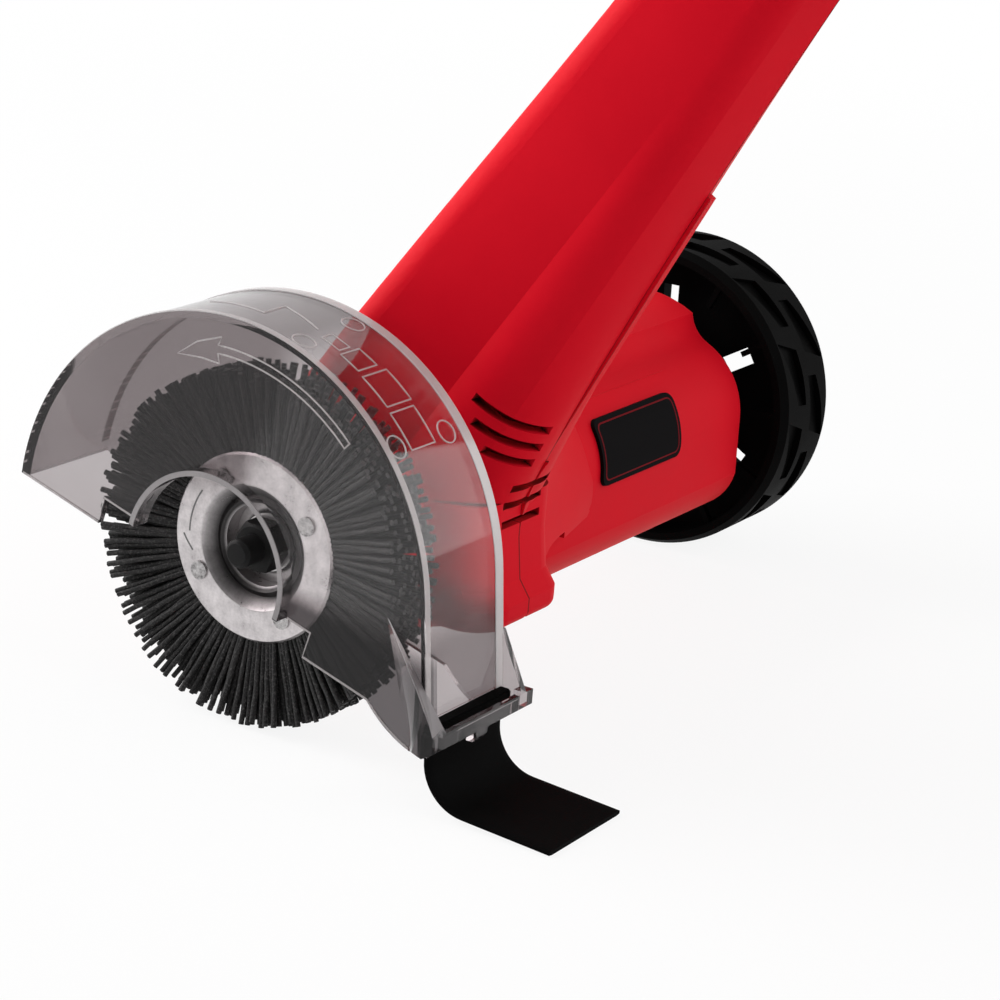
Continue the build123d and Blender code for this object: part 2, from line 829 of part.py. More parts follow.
tube_screws = [(95, -16.5), (95, 26.4), (160, 23.6), (225, 23.5)]
bulge_screw = (45, -9)
boss_wall = 1.25
guide_radius = stem_radius + running_gap + bush_wall
gear_case_radius = ring_radius + 2.5
top_wall = 4.0
guard_screw_angles = [30, 90, 150]
guard_screw_places = [
    (guard_screw_circle * cos(radians(a)), guard_screw_circle * sin(radians(a))) for a in guard_screw_angles
]


def pillar(place, radius, x, length, mode=Mode.ADD):
    """Round pillar along +X from station x, in the piece being built."""
    with BuildSketch(across(x)) as section:
        with Locations(place):
            Circle(radius)
    extrude(section.sketch, amount=length, mode=mode)


def tube_bosses(radius):
    """Screw bosses of one tube half, from the seam out to the skin of the tube."""
    with BuildPart(mode=Mode.PRIVATE) as bosses:
        for s, p in tube_screws:
            pillar(tube_yz(s, p), radius, x_seam, 40)
        add(tube_half.part, mode=Mode.INTERSECT)
    return bosses.part


def tube_neck(side):
    """Close the top of a tube half and add its half of the neck that the lock collar turns on."""
    lid_edge = [
        (0, tube_front[-1] + 1.2),
        (tube_half_width[-1] - 8, tube_front[-1] + 1.2),
        (tube_half_width[-1] - 3.2, tube_front[-1] + 6.5),
        (tube_half_width[-1] - 3.2, tube_crease[-1] - 0.3),
        (tube_ridge_side[-1] - 0.6, tube_ridge[-1] - 1.2),
        (0, tube_back[-1] - 1.2),
    ]
    with BuildSketch(tube_plane(tube_top - top_wall)) as lid:
        Polygon(*[(side * edge_x, edge_p) for edge_x, edge_p in lid_edge], align=None)
    extrude(lid.sketch, amount=top_wall)
    with BuildSketch(tube_plane(tube_top)) as neck:
        with Locations((0, stem_p)):
            Circle(neck_radius)
        with Locations((side * neck_radius, stem_p)):
            Rectangle(2 * neck_radius, 2 * neck_radius, mode=Mode.INTERSECT)
    extrude(neck.sketch, amount=neck_length)
    with BuildSketch(tube_plane(tube_top - top_wall)) as bore:
        with Locations((0, stem_p)):
            Circle(guide_radius)
    extrude(bore.sketch, amount=top_wall + neck_length, mode=Mode.SUBTRACT)


def cooling_slots():
    """Slots square to the tube that wrap round the ridge of the brush-side shell."""
    for s, front_end in vent_places:
        with BuildSketch(tube_plane(s - vent_width / 2)) as slot:
            with Locations((vent_seam_gap, front_end)):
                Rectangle(40, 40, align=(Align.MIN, Align.MIN))
        extrude(slot.sketch, amount=vent_width, mode=Mode.SUBTRACT)


def seam_slots(side):
    """Short slots that start at the seam on one side."""
    for height in seam_slot_heights:
        with BuildSketch(Plane.XZ.offset(-40)) as slot:
            with Locations((x_seam + side * seam_slot_length / 2, height)):
                Rectangle(seam_slot_length, seam_slot_width)
        extrude(slot.sketch, amount=-40, mode=Mode.SUBTRACT)


bulge_reach = x_bulge - x_seam
bulge_room = bulge_reach - shell_wall
with BuildPart() as shell_brush_side:
    # outer form: round nose behind the guard, the back bulge and the tube
    with BuildSketch(across(x_seam)):
        Circle(drum_radius)
    extrude(amount=x_nose - x_seam)
    fillet(shell_brush_side.faces().sort_by(Axis.X)[-1].edges(), 3)
    add(bulge_form(bulge_reach, bulge_round + 4, 0))
    add(tube_half.part)
    # hollow
    add(tube_room.part, mode=Mode.SUBTRACT)
    add(bulge_form(bulge_reach, bulge_round + 4, shell_wall), mode=Mode.SUBTRACT)
    pillar((0, 0), drum_radius - shell_wall, x_seam, x_bearing - x_seam, mode=Mode.SUBTRACT)
    # gear case, bearing seat, screw bosses and neck
    sleeve(gear_case_radius, ring_radius, x_motor, x_bearing - x_motor)
    sleeve(bearing_outer_radius + 3, bearing_outer_radius, x_bearing, -bearing_width)
    for place in guard_screw_places:
        pillar(place, boss_radius, x_bearing, -screw_bite)
    add(tube_bosses(boss_radius))
    pillar(bulge_screw, boss_radius, x_seam, bulge_room + 1)
    tube_neck(1)
    # holes
    pillar((0, 0), seal_radius, x_bearing, nose_wall, mode=Mode.SUBTRACT)
    for place in guard_screw_places:
        pillar(place, screw_radius, x_nose, -screw_bite, mode=Mode.SUBTRACT)
    for place in [tube_yz(s, p) for s, p in tube_screws] + [bulge_screw]:
        pillar(place, screw_radius, x_seam, screw_bite, mode=Mode.SUBTRACT)
    cooling_slots()
    seam_slots(1)
save(shell_brush_side.part, "shell_brush_side")

with BuildPart() as barrel:
    extrude(across(x_barrel_end) * barrel_section(0), amount=barrel_length)
    fillet(barrel.faces().sort_by(Axis.X)[0].edges(), 3)

belly_centre = (belly_back - belly_radius, belly_height)
badge_middle = 17.0
badge_x = x_seam - 89
badge_out = (0, cos(radians(badge_middle)), sin(radians(badge_middle)))
badge_plane = Plane(origin=(badge_x, *belly_centre), x_dir=(1, 0, 0), z_dir=badge_out)


def belly_plate(inner, outer, length, height, corner):
    """Plate that follows the belly between two distances from its skin."""
    with BuildPart(mode=Mode.PRIVATE) as plate:
        with BuildSketch(mode=Mode.PRIVATE) as skin:
            add(barrel_section(-outer))
            add(barrel_section(-inner), mode=Mode.SUBTRACT)
        extrude(across(badge_x) * skin.sketch, amount=length, both=True)
        with BuildSketch(badge_plane):
            RectangleRounded(length, height, corner)
        extrude(amount=2 * belly_radius, mode=Mode.INTERSECT)
    return plate.part


with BuildPart() as shell_wheel_side:
    # outer form: barrel, back bulge, cheek, tube, badge pad and the ledge that stands proud of the seam
    add(barrel.part)
    add(bulge_form(-bulge_end, bulge_round, 0))
    cheek()
    add(mirror(tube_half.part, about=across(x_seam), mode=Mode.PRIVATE))
    add(belly_plate(-0.5, badge_pad_proud, badge_pad_length, badge_pad_height, 4))
    with BuildSketch(side_plane):
        with BuildLine():
            Polyline(
                (tube_back_at(ledge_top) + ledge_proud, ledge_top),
                (tube_back_at(ledge_top) - 8, ledge_top),
                (tube_back_at(ledge_low) - 8, ledge_low),
                (tube_back_at(ledge_low), ledge_low),
            )
            ThreePointArc(
                (tube_back_at(ledge_low), ledge_low),
                (tube_back_at(tube_stations[1]) + ledge_proud, tube_stations[1]),
                (tube_back_at(ledge_top) + ledge_proud, ledge_top),
            )
        make_face()
    extrude(amount=-ledge_thickness)
    # hollow
    add(mirror(tube_room.part, about=across(x_seam), mode=Mode.PRIVATE), mode=Mode.SUBTRACT)
    add(bulge_form(-bulge_end, bulge_round, shell_wall), mode=Mode.SUBTRACT)
    motor_room = across(x_seam) * barrel_section(shell_wall)
    extrude(motor_room, amount=shell_wall - barrel_length, mode=Mode.SUBTRACT)
    # ribs that hold the motor, axle boss, screw bosses and neck
    for rib_x in (x_motor - 25, x_motor_end + 10):
        with BuildSketch(mode=Mode.PRIVATE) as rib:
            add(barrel_section(shell_wall))
            Circle(motor_radius, mode=Mode.SUBTRACT)
        extrude(across(rib_x) * rib.sketch, amount=3)
    axle_boss = axle_boss_reach + axle_seat
    pillar((0, 0), axle_boss_radius, x_barrel_end - axle_boss_reach, axle_boss)
    add(mirror(tube_bosses(screw_head_radius + boss_wall), about=across(x_seam), mode=Mode.PRIVATE))
    pillar(bulge_screw, screw_head_radius + boss_wall, x_seam, 1 - bulge_end)
    tube_neck(-1)
    # holes
    pillar((0, 0), axle_radius, x_barrel_end - axle_boss_reach, axle_boss, mode=Mode.SUBTRACT)
    for place in [tube_yz(s, p) for s, p in tube_screws] + [bulge_screw]:
        pillar(place, screw_radius + running_gap, x_seam, -shell_screw_grip, mode=Mode.SUBTRACT)
        pillar(place, screw_head_radius + free_gap / 2, x_seam - shell_screw_grip, -34, mode=Mode.SUBTRACT)
    seam_slots(-1)
save(shell_wheel_side.part, "shell_wheel_side")

with BuildPart() as shell_screws:
    for place in [tube_yz(s, p) for s, p in tube_screws] + [bulge_screw]:
        pillar(place, screw_radius, x_seam - shell_screw_grip, shell_screw_grip + screw_bite - 1)
        pillar(place, screw_head_radius, x_seam - shell_screw_grip, -screw_head_height)
save(shell_screws.part, "shell_screws")


# Badge plate: bare curved plate bonded to the pad on the belly
badge_skin = badge_pad_proud + badge_thickness
save(belly_plate(badge_pad_proud, badge_skin, badge_length, badge_height, 3), "badge_plate")


# Guard: clear moulded hood over the brush, open below, with the flap bracket at its back
chord_sin = sin(radians(guard_chord_tilt))
chord_cos = cos(radians(guard_chord_tilt))
skirt_sin = sin(radians(guard_skirt_lean))
skirt_cos = cos(radians(guard_skirt_lean))


def chord_point(u, w):
    """Point in Y and Z from u along the lower edge of the guard and w above the spindle."""
    return (u * chord_cos + w * chord_sin, w * chord_cos - u * chord_sin)


def skirt_point(radius, z):
    """Point at height z on the straight back of the guard, which leaves the rim at radius."""
    return (radius * skirt_cos + (radius * skirt_sin - z) * skirt_sin / skirt_cos, z)


skirt_start = (guard_radius * skirt_cos, guard_radius * skirt_sin)
skirt_end = skirt_point(guard_radius, guard_skirt_bottom)
chord_front = chord_point(-sqrt(guard_radius**2 - guard_chord_drop**2), -guard_chord_drop)
chord_back = chord_point(56, -guard_chord_drop)
hood_arc = degrees(atan2(chord_front[1], chord_front[0])) - guard_skirt_lean
room_radius = guard_radius - guard_wall
guard_width = guard_front_x - guard_rear_x
bracket_back = skirt_end[0] + bracket_depth
bracket_top = guard_skirt_bottom + bracket_floor
bracket_lip_top = bracket_top + bracket_lip
bracket_under = (bracket_back, guard_skirt_bottom + 4)
flap_y = skirt_end[0] - 0.5
flap_middle_x = (guard_front_x + guard_rear_x) / 2

with BuildPart() as guard:
    with BuildSketch(across(guard_rear_x)) as hood:
        with BuildLine():
            CenterArc((0, 0), guard_radius, guard_skirt_lean, hood_arc)
            Line(chord_front, chord_back)
            ThreePointArc(chord_back, (58.6, -30.4), (skirt_end[0] - 5, guard_skirt_bottom))
            Polyline((skirt_end[0] - 5, guard_skirt_bottom), skirt_end, skirt_start)
        make_face()
    extrude(amount=guard_width)
    # flap bracket: a tray with a lip, a gusset and an ear at the motor side, a flared corner at the front
    gusset_x = guard_rear_x - 1.5
    with BuildSketch(across(gusset_x)):
        with BuildLine():
            Polyline(
                (skirt_end[0] - 5, guard_skirt_bottom),
                (skirt_end[0] + 0.8, guard_skirt_bottom),
                bracket_under,
                (bracket_back, bracket_lip_top),
                (bracket_back - 1.5, bracket_lip_top),
                (bracket_back - 2, bracket_top),
                (skirt_end[0] - 5, bracket_top),
                close=True,
            )
        make_face()
    extrude(amount=guard_front_x - gusset_x)
    with BuildSketch(across(gusset_x)):
        with BuildLine():
            Polyline(
                skirt_point(guard_radius - 1, bracket_gusset_top),
                skirt_point(guard_radius, bracket_gusset_top),
                (skirt_end[0] + 2.6, bracket_gusset_top - 9.6),
                (bracket_back, bracket_lip_top),
                (bracket_back, bracket_top),
                (skirt_end[0] - 3, bracket_top),
                close=True,
            )
        make_face()
    extrude(amount=guard_wall)
    with BuildSketch(across(guard_rear_x - bracket_ear)):
        Polygon(
            (bracket_back - 3.5, bracket_under[1]),
            bracket_under,
            (bracket_back, bracket_lip_top),
            (bracket_back - 3.5, bracket_lip_top),
            align=None,
        )
    extrude(amount=bracket_ear)
    with BuildSketch(across(guard_front_x), mode=Mode.PRIVATE) as flare_root:
        Polygon(
            (56, 0.5),
            (bracket_back, bracket_lip_top),
            bracket_under,
            (skirt_end[0] + 0.8, guard_skirt_bottom),
            (skirt_end[0] - 5, guard_skirt_bottom),
            align=None,
        )
    with BuildSketch(across(guard_front_x + bracket_flare), mode=Mode.PRIVATE) as flare_tip:
        Polygon(
            (bracket_back - 3, bracket_lip_top + 7.4),
            (bracket_back, bracket_lip_top),
            bracket_under,
            (bracket_back - 3.2, bracket_under[1] - 2),
            (bracket_back - 6.2, bracket_under[1] - 1),
            align=None,
        )
    loft([flare_root.sketch, flare_tip.sketch], ruled=True)
    # small tab under the middle of the bracket
    with BuildSketch(across(flap_middle_x - 2.6)):
        Polygon(
            (bracket_back - 3.6, bracket_top - 3),
            (bracket_back - 0.6, bracket_top - 3),
            (bracket_back - 0.6, bracket_under[1] - 2.2),
            (bracket_back - 1.6, bracket_under[1] - 3.6),
            (bracket_back - 3.6, bracket_under[1] - 3.6),
            align=None,
        )
    extrude(amount=5.2)
    # room for the brush
    with BuildSketch(across(guard_rear_x + guard_wall)):
        Circle(room_radius)
        with BuildLine():
            Polyline(
                (0, 0),
                (room_radius * skirt_cos, room_radius * skirt_sin),
                skirt_point(room_radius, guard_skirt_bottom - 5),
                (-room_radius, guard_skirt_bottom - 5),
                (-room_radius, 0),
                close=True,
            )
        make_face()
    extrude(amount=guard_width - 2 * guard_wall, mode=Mode.SUBTRACT)
    # arch with a raised lip in the front wall, bore in the back wall, flap slot
    with BuildSketch(across(guard_front_x)):
        Circle(guard_arch_radius + guard_lip_wall)
        Polygon(
            chord_point(-guard_radius, guard_notch_top),
            chord_point(guard_radius, guard_notch_top),
            chord_point(guard_radius, -guard_radius),
            chord_point(-guard_radius, -guard_radius),
            align=None,
            mode=Mode.SUBTRACT,
        )
    extrude(amount=guard_lip_reach)
    with BuildSketch(across(guard_front_x - guard_wall)):
        Circle(guard_arch_radius)
        Polygon(
            chord_point(guard_notch_front, guard_notch_top),
            chord_point(guard_notch_back, guard_notch_top),
            chord_point(guard_notch_back, -guard_arch_radius),
            chord_point(guard_notch_front, -guard_arch_radius),
            align=None,
        )
    extrude(amount=guard_wall + guard_lip_reach, mode=Mode.SUBTRACT)
    pillar((0, 0), bearing_outer_radius + 3, guard_rear_x, guard_wall, mode=Mode.SUBTRACT)
    for place in guard_screw_places:
        pillar(place, screw_radius + running_gap, guard_rear_x, guard_wall, mode=Mode.SUBTRACT)
    with BuildSketch(Plane.XY.offset(guard_skirt_bottom)):
        with Locations((flap_middle_x, flap_y)):
            Rectangle(flap_width + 0.2, flap_thickness + 0.2)
    extrude(amount=bracket_floor + flap_bead + 0.2, mode=Mode.SUBTRACT)
save(guard.part, "guard")

with BuildPart() as guard_screws:
    for place in guard_screw_places:
        pillar(place, screw_radius, guard_rear_x + guard_wall, 1 - screw_bite - guard_wall)
        pillar(place, screw_head_radius, guard_rear_x + guard_wall, screw_head_height)
save(guard_screws.part, "guard_screws")

# Splash flap: rubber strip hung in the bracket slot by a bead, bent back along the ground
bend_angle = radians(90 - flap_slope)
bend_end_y = flap_y + flap_bend_radius * (1 - cos(bend_angle))
flap_end = (flap_reach, -brush_radius + flap_thickness / 2)
bend_end = (bend_end_y, flap_end[1] + (flap_reach - bend_end_y) * tan(radians(flap_slope)))
bend_start = (flap_y, bend_end[1] + flap_bend_radius * sin(bend_angle))
with BuildPart() as splash_flap:
    with BuildSketch(across(flap_middle_x - flap_width / 2)):
        with BuildLine():
            hang = Line((flap_y, bracket_top + flap_bead / 2), bend_start)
            bend = TangentArc(bend_start, bend_end, tangent=(0, -1))
            Line(bend_end, flap_end)
        trace(line_width=flap_thickness)
        with Locations((flap_y - flap_thickness / 2, bracket_top)):
            Rectangle(flap_thickness + flap_bead, flap_bead, align=(Align.MIN, Align.MIN))
    extrude(amount=flap_width)
save(splash_flap.part, "splash_flap")


# Guide wheel: dished plastic wheel with spokes, turning on a fixed axle
x_web = x_wheel - wheel_web_depth - wheel_web
x_axle_end = x_wheel_end - free_gap - wheel_cap_thickness + 1
with BuildPart() as axle:
    pillar((0, 0), axle_radius, x_axle_end, x_barrel_end + axle_seat - x_axle_end)
save(axle.part, "axle")

lug_planes = []
for row_side in (1, -1):
    for lug in range(wheel_lugs):
        turn = radians(lug_angle - row_side * 90 / wheel_lugs + 360 * lug / wheel_lugs)
        lug_planes.append(
            Plane(
                origin=(x_wheel - wheel_width / 2, wheel_radius * cos(turn), wheel_radius * sin(turn)),
                x_dir=(row_side, 0, 0),
                z_dir=(0, cos(turn), sin(turn)),
            )
        )
with BuildPart() as wheel:
    with BuildSketch(Plane.XY):
        with BuildLine():
            Polyline(
                (x_wheel, wheel_rim_radius),
                (x_wheel, wheel_radius - 1.6),
                (x_wheel - 3, wheel_radius),
                (x_wheel_end + 3, wheel_radius),
                (x_wheel_end, wheel_radius - 1.6),
                (x_wheel_end, wheel_rim_radius),
                (x_web, wheel_rim_radius - 1),
                (x_web, wheel_hub_radius),
                (x_wheel_end, wheel_hub_radius - 1),
                (x_wheel_end, axle_radius + running_gap),
                (x_wheel, axle_radius + running_gap),
                (x_wheel, wheel_hub_radius - 1),
                (x_web + wheel_web, wheel_hub_radius),
                (x_web + wheel_web, wheel_rim_radius - 1),
                close=True,
            )
        make_face()
    revolve(axis=Axis.X)
    # thin ribs between the web and the rim, then the windows and the tread
    rib_inner = wheel_window_outer + 1
    with BuildSketch(across(x_web + wheel_web)) as ribs:
        with PolarLocations((rib_inner + wheel_rim_radius) / 2, wheel_ribs, start_angle=wheel_rib_angle):
            Rectangle(wheel_rim_radius - rib_inner, wheel_rib_width)
    extrude(ribs.sketch, amount=wheel_web_depth - 3)
    window_middle = (wheel_window_inner + wheel_window_outer) / 2
    with BuildSketch(across(x_web)):
        with PolarLocations(window_middle, wheel_windows, start_angle=wheel_window_angle):
            Rectangle(wheel_window_outer - wheel_window_inner, wheel_window_width)
    extrude(amount=wheel_web, mode=Mode.SUBTRACT)
    with BuildSketch(*lug_planes):
        Polygon((12.7, -11), (2.5, -7.2), (1.2, 11), (6.5, 10.4), align=None)
    extrude(amount=-lug_depth, mode=Mode.SUBTRACT)
save(wheel.part, "wheel")

with BuildPart() as wheel_cap:
    pillar((0, 0), wheel_cap_radius, x_wheel_end - free_gap, -wheel_cap_thickness)
    fillet(wheel_cap.faces().sort_by(Axis.X)[0].edges(), 1.5)
    pillar((0, 0), axle_radius, x_wheel_end - free_gap, 1 - wheel_cap_thickness, mode=Mode.SUBTRACT)
save(wheel_cap.part, "wheel_cap")


# Telescopic stem with its guide bush and twist-lock collar
def tube_ring(radius, bore, s, length, mode=Mode.ADD):
    """Ring round the stem axis from distance s up the tube, in the piece being built."""
    with BuildSketch(tube_plane(s)) as section:
        with Locations((0, stem_p)):
            Circle(radius)
            if bore:
                Circle(bore, mode=Mode.SUBTRACT)
    extrude(section.sketch, amount=length, mode=mode)


with BuildPart() as guide_bush:
    tube_ring(guide_radius, stem_radius + running_gap, tube_top - top_wall, top_wall + neck_length)
save(guide_bush.part, "guide_bush")

with BuildPart() as stem:
    tube_ring(stem_radius, stem_radius - stem_wall, stem_low, stem_top - stem_low)
save(stem.part, "stem")

collar_radius = neck_radius + collar_wall
collar_low = tube_top + free_gap
with BuildPart() as lock_collar:
    tube_ring(collar_radius, neck_radius + running_gap, collar_low, neck_length)
    tube_ring(collar_radius, stem_radius + free_gap, collar_low + neck_length, collar_lip)
    fillet(lock_collar.edges().filter_by(GeomType.CIRCLE).sort_by(SortBy.RADIUS)[-2:], 1.5)
    with BuildSketch(tube_plane(collar_low + 5)):
        with Locations((0, stem_p)):
            with PolarLocations(collar_radius + 0.6, collar_flutes):
                Circle(1.8)
    extrude(amount=neck_length - 8, mode=Mode.SUBTRACT)
save(lock_collar.part, "lock_collar")


# Rear handle: two shells with trigger, lock-off button, switch and cable gland
grip_sin = sin(radians(grip_bend))
grip_cos = cos(radians(grip_bend))
handle_wall = shell_wall


def grip_point(along, out):
    """Point in the side plane, along the grip and out from its middle line towards the back."""
    return (
        stem_p + along * grip_sin + out * grip_cos,
        grip_start + along * grip_cos - out * grip_sin,
    )


def grip_world(along, out):
    """The same point in the shared frame."""
    p, s = grip_point(along, out)
    return (x_seam, *tube_yz(s, p))


out_dir = (0, *tube_yz(-grip_sin, grip_cos))
along_dir = (0, *tube_yz(grip_cos, grip_sin))


def handle_section(inset):
    """Side outline of the handle, drawn in by inset."""
    with BuildSketch() as section:
        Polygon(
            (stem_p - handle_neck_half, handle_low),
            (stem_p + handle_neck_half, handle_low),
            grip_point(0, grip_half),
            grip_point(grip_length - 17, grip_half),
            grip_point(grip_length - 9, grip_half + 8),
            grip_point(grip_length + 7, grip_half + 6),
            grip_point(grip_length + 7, -grip_half),
            grip_point(0, -grip_half),
            align=None,
        )
        for along, out, radius in (
            (grip_length - 9, grip_half + 8, 6),
            (grip_length + 7, grip_half + 6, 6),
            (grip_length + 7, -grip_half, 9),
            (grip_length - 17, grip_half, 10),
            (0, grip_half, 60),
            (0, -grip_half, 60),
        ):
            fillet(section.vertices().sort_by_distance((*grip_point(along, out), 0))[0], radius)
        if inset:
            offset(amount=-inset, mode=Mode.REPLACE)
    return section.sketch


def side_strip(middle, height, side):
    """Rib across the inside of the handle at a distance up the tube, in the piece being built."""
    with BuildSketch() as rib:
        add(handle_section(handle_wall))
        with Locations((stem_p, middle)):
            Rectangle(200, height, mode=Mode.INTERSECT)
    extrude(side_plane * rib.sketch, amount=side * (handle_half_width - handle_wall))


def side_pillar(place, radius, start, end, mode=Mode.ADD):
    """Round pillar along X at a point of the side plane, between two distances from the seam."""
    with BuildSketch(side_plane.offset(start)) as section:
        with Locations(place):
            Circle(radius)
    extrude(section.sketch, amount=end - start, mode=mode)


handle_screws_at = [grip_point(-7, 0), grip_point(118, 0), grip_point(grip_length - 12, 12)]
pivot_place = grip_point(trigger_pivot, 9)
handle_inner = handle_half_width - handle_wall
slot_low = 14.0
slot_high = trigger_pivot - 4


def button_plane(out):
    """Plane square to the lock-off button, at distance out from the grip's middle line."""
    return Plane(origin=grip_world(lock_button_place, out), x_dir=(1, 0, 0), z_dir=out_dir)


def handle_half(side):
    """One handle shell; side is 1 towards the brush and -1 towards the wheel."""
    with BuildPart() as shell:
        extrude(side_plane * handle_section(0), amount=side * handle_half_width)
        fillet(shell.faces().sort_by(Axis.X)[-1 if side > 0 else 0].edges(), 8)
        extrude(side_plane * handle_section(handle_wall), amount=side * handle_inner, mode=Mode.SUBTRACT)
        side_strip(stem_top - 6, 4, side)
        side_strip(stem_top + 1.5, 3, side)
        pivot_start = side * (trigger_half_width + free_gap)
        side_pillar(pivot_place, trigger_pin_radius + 2.5, pivot_start, side * handle_inner)
        for place in handle_screws_at:
            side_pillar(place, screw_head_radius + boss_wall, 0, side * handle_inner)
        tube_ring(stem_radius, 0, handle_low - 1, stem_top - handle_low + 1, mode=Mode.SUBTRACT)
        side_pillar(pivot_place, trigger_pin_radius, 0, side * handle_inner, mode=Mode.SUBTRACT)
        for place in handle_screws_at:
            if side > 0:
                side_pillar(place, screw_radius, 0, screw_bite, mode=Mode.SUBTRACT)
            else:
                side_pillar(place, screw_radius + running_gap, 0, -screw_grip, mode=Mode.SUBTRACT)
                side_pillar(place, screw_head_radius + free_gap / 2, -screw_grip, -30, mode=Mode.SUBTRACT)
        with BuildSketch(side_plane) as slot:
            Polygon(
                grip_point(slot_low, grip_half - 4),
                grip_point(slot_low, grip_half + 10),
                grip_point(slot_high, grip_half + 10),
                grip_point(slot_high, grip_half - 4),
                align=None,
            )
        extrude(slot.sketch, amount=side * (trigger_half_width + free_gap), mode=Mode.SUBTRACT)
        with BuildSketch(button_plane(0)) as hole:
            Circle(lock_button_radius + 0.3)
        extrude(hole.sketch, amount=-grip_half - 2, mode=Mode.SUBTRACT)
        with BuildSketch(Plane(origin=grip_world(grip_length, 0), x_dir=(1, 0, 0), z_dir=along_dir)) as bore:
            Circle(gland_radius)
        extrude(bore.sketch, amount=gland_length, mode=Mode.SUBTRACT)
    return shell.part


save(handle_half(1), "handle_shell_brush_side")
save(handle_half(-1), "handle_shell_wheel_side")

with BuildPart() as handle_screws:
    for place in handle_screws_at:
        side_pillar(place, screw_radius, -screw_grip, screw_bite - 1)
        side_pillar(place, screw_head_radius, -screw_grip, -screw_grip - screw_head_height)
save(handle_screws.part, "handle_screws")

with BuildPart() as trigger_pin:
    side_pillar(pivot_place, trigger_pin_radius, -handle_inner, handle_inner)
save(trigger_pin.part, "trigger_pin")

with BuildPart() as trigger:
    with BuildSketch(side_plane):
        Polygon(
            grip_point(trigger_pivot - 8, 5),
            grip_point(trigger_pivot - 2, grip_half - 4),
            grip_point(slot_high - 2, grip_half - 3),
            grip_point(slot_high - 2, grip_half + 1),
            grip_point(slot_low + 12, grip_half + 9),
            grip_point(slot_low + 4, grip_half + 5),
            grip_point(slot_low + 4, 11),
            align=None,
        )
        with Locations(pivot_place):
            Circle(trigger_pin_radius + 3)
            Circle(trigger_pin_radius + running_gap, mode=Mode.SUBTRACT)
    extrude(amount=trigger_half_width, both=True)
save(trigger.part, "trigger")

with BuildPart() as power_switch:
    with BuildSketch(side_plane):
        Polygon(
            grip_point(20, -13),
            grip_point(20, -1),
            grip_point(58, -1),
            grip_point(58, -13),
            align=None,
        )
    extrude(amount=handle_inner, both=True)
    with BuildSketch(Plane(origin=grip_world(30, -1), x_dir=(1, 0, 0), z_dir=out_dir)):
        Circle(2.5)
    extrude(amount=3)
save(power_switch.part, "power_switch")

with BuildPart() as lock_button:
    button_inside = grip_half - handle_wall
    with BuildSketch(button_plane(3 - button_inside)):
        Circle(lock_button_radius)
    extrude(amount=-handle_wall - 3 - lock_button_proud)
    fillet(lock_button.edges().sort_by(Axis(grip_world(0, 0), out_dir))[0], 1.5)
    with BuildSketch(button_plane(-button_inside)):
        Circle(lock_button_radius + 1.8)
    extrude(amount=2)
save(lock_button.part, "lock_button")

gland_plane = Plane(origin=grip_world(grip_length, 0), x_dir=(1, 0, 0), z_dir=along_dir)
with BuildPart() as cable_gland:
    with BuildSketch(gland_plane):
        Circle(gland_radius)
    extrude(amount=gland_length)
    with BuildSketch(gland_plane.offset(-3)):
        Circle(gland_radius + 2)
    extrude(amount=3)
    with BuildSketch(gland_plane.offset(-3)):
        Circle(gland_bore_radius)
    extrude(amount=gland_length + 3, mode=Mode.SUBTRACT)
save(cable_gland.part, "cable_gland")

with BuildPart() as handle_core:
    extrude(side_plane * handle_section(0), amount=handle_half_width, both=True)
    fillet(handle_core.faces().filter_by(Plane.YZ).edges(), 8)
with BuildPart() as grip_sleeve:
    extrude(side_plane * handle_section(-sleeve_wall), amount=handle_half_width + sleeve_wall, both=True)
    fillet(grip_sleeve.faces().filter_by(Plane.YZ).edges(), 8 + sleeve_wall)
    with BuildSketch(side_plane):
        Polygon(
            grip_point(trigger_pivot + 4, -grip_half - 10),
            grip_point(trigger_pivot + 4, grip_half + 10),
            grip_point(grip_length - 24, grip_half + 10),
            grip_point(grip_length - 24, -grip_half - 10),
            align=None,
        )
    extrude(amount=2 * handle_half_width, both=True, mode=Mode.INTERSECT)
    add(handle_core.part, mode=Mode.SUBTRACT)
    with BuildSketch(button_plane(0)):
        Circle(lock_button_radius + 3)
    extrude(amount=-2 * grip_half, mode=Mode.SUBTRACT)
    head_room = screw_head_radius + free_gap
    for place in handle_screws_at:
        side_pillar(place, head_room, -screw_grip, -2 * handle_half_width, mode=Mode.SUBTRACT)
save(grip_sleeve.part, "grip_sleeve")


# Auxiliary handle: a loop that tilts on a clamp round the stem, held by a bolt and knob
aux_p = stem_p - aux_pivot_drop
aux_pivot = (aux_p, aux_place)
with BuildPart() as aux_clamp:
    tube_ring(stem_radius + aux_clamp_wall, 0, aux_place - aux_clamp_length / 2, aux_clamp_length)
    side_pillar(aux_pivot, aux_boss_radius, -aux_boss_half, aux_boss_half)
    with BuildSketch(side_plane):
        with Locations(((aux_p + stem_p) / 2, aux_place)):
            Rectangle(aux_pivot_drop, 2 * aux_boss_radius)
    extrude(amount=aux_boss_half - 3, both=True)
    tube_ring(stem_radius, 0, aux_place - aux_clamp_length / 2, aux_clamp_length, mode=Mode.SUBTRACT)
    side_pillar(aux_pivot, aux_bolt_radius + running_gap, -aux_boss_half, aux_boss_half, mode=Mode.SUBTRACT)
save(aux_clamp.part, "aux_clamp")

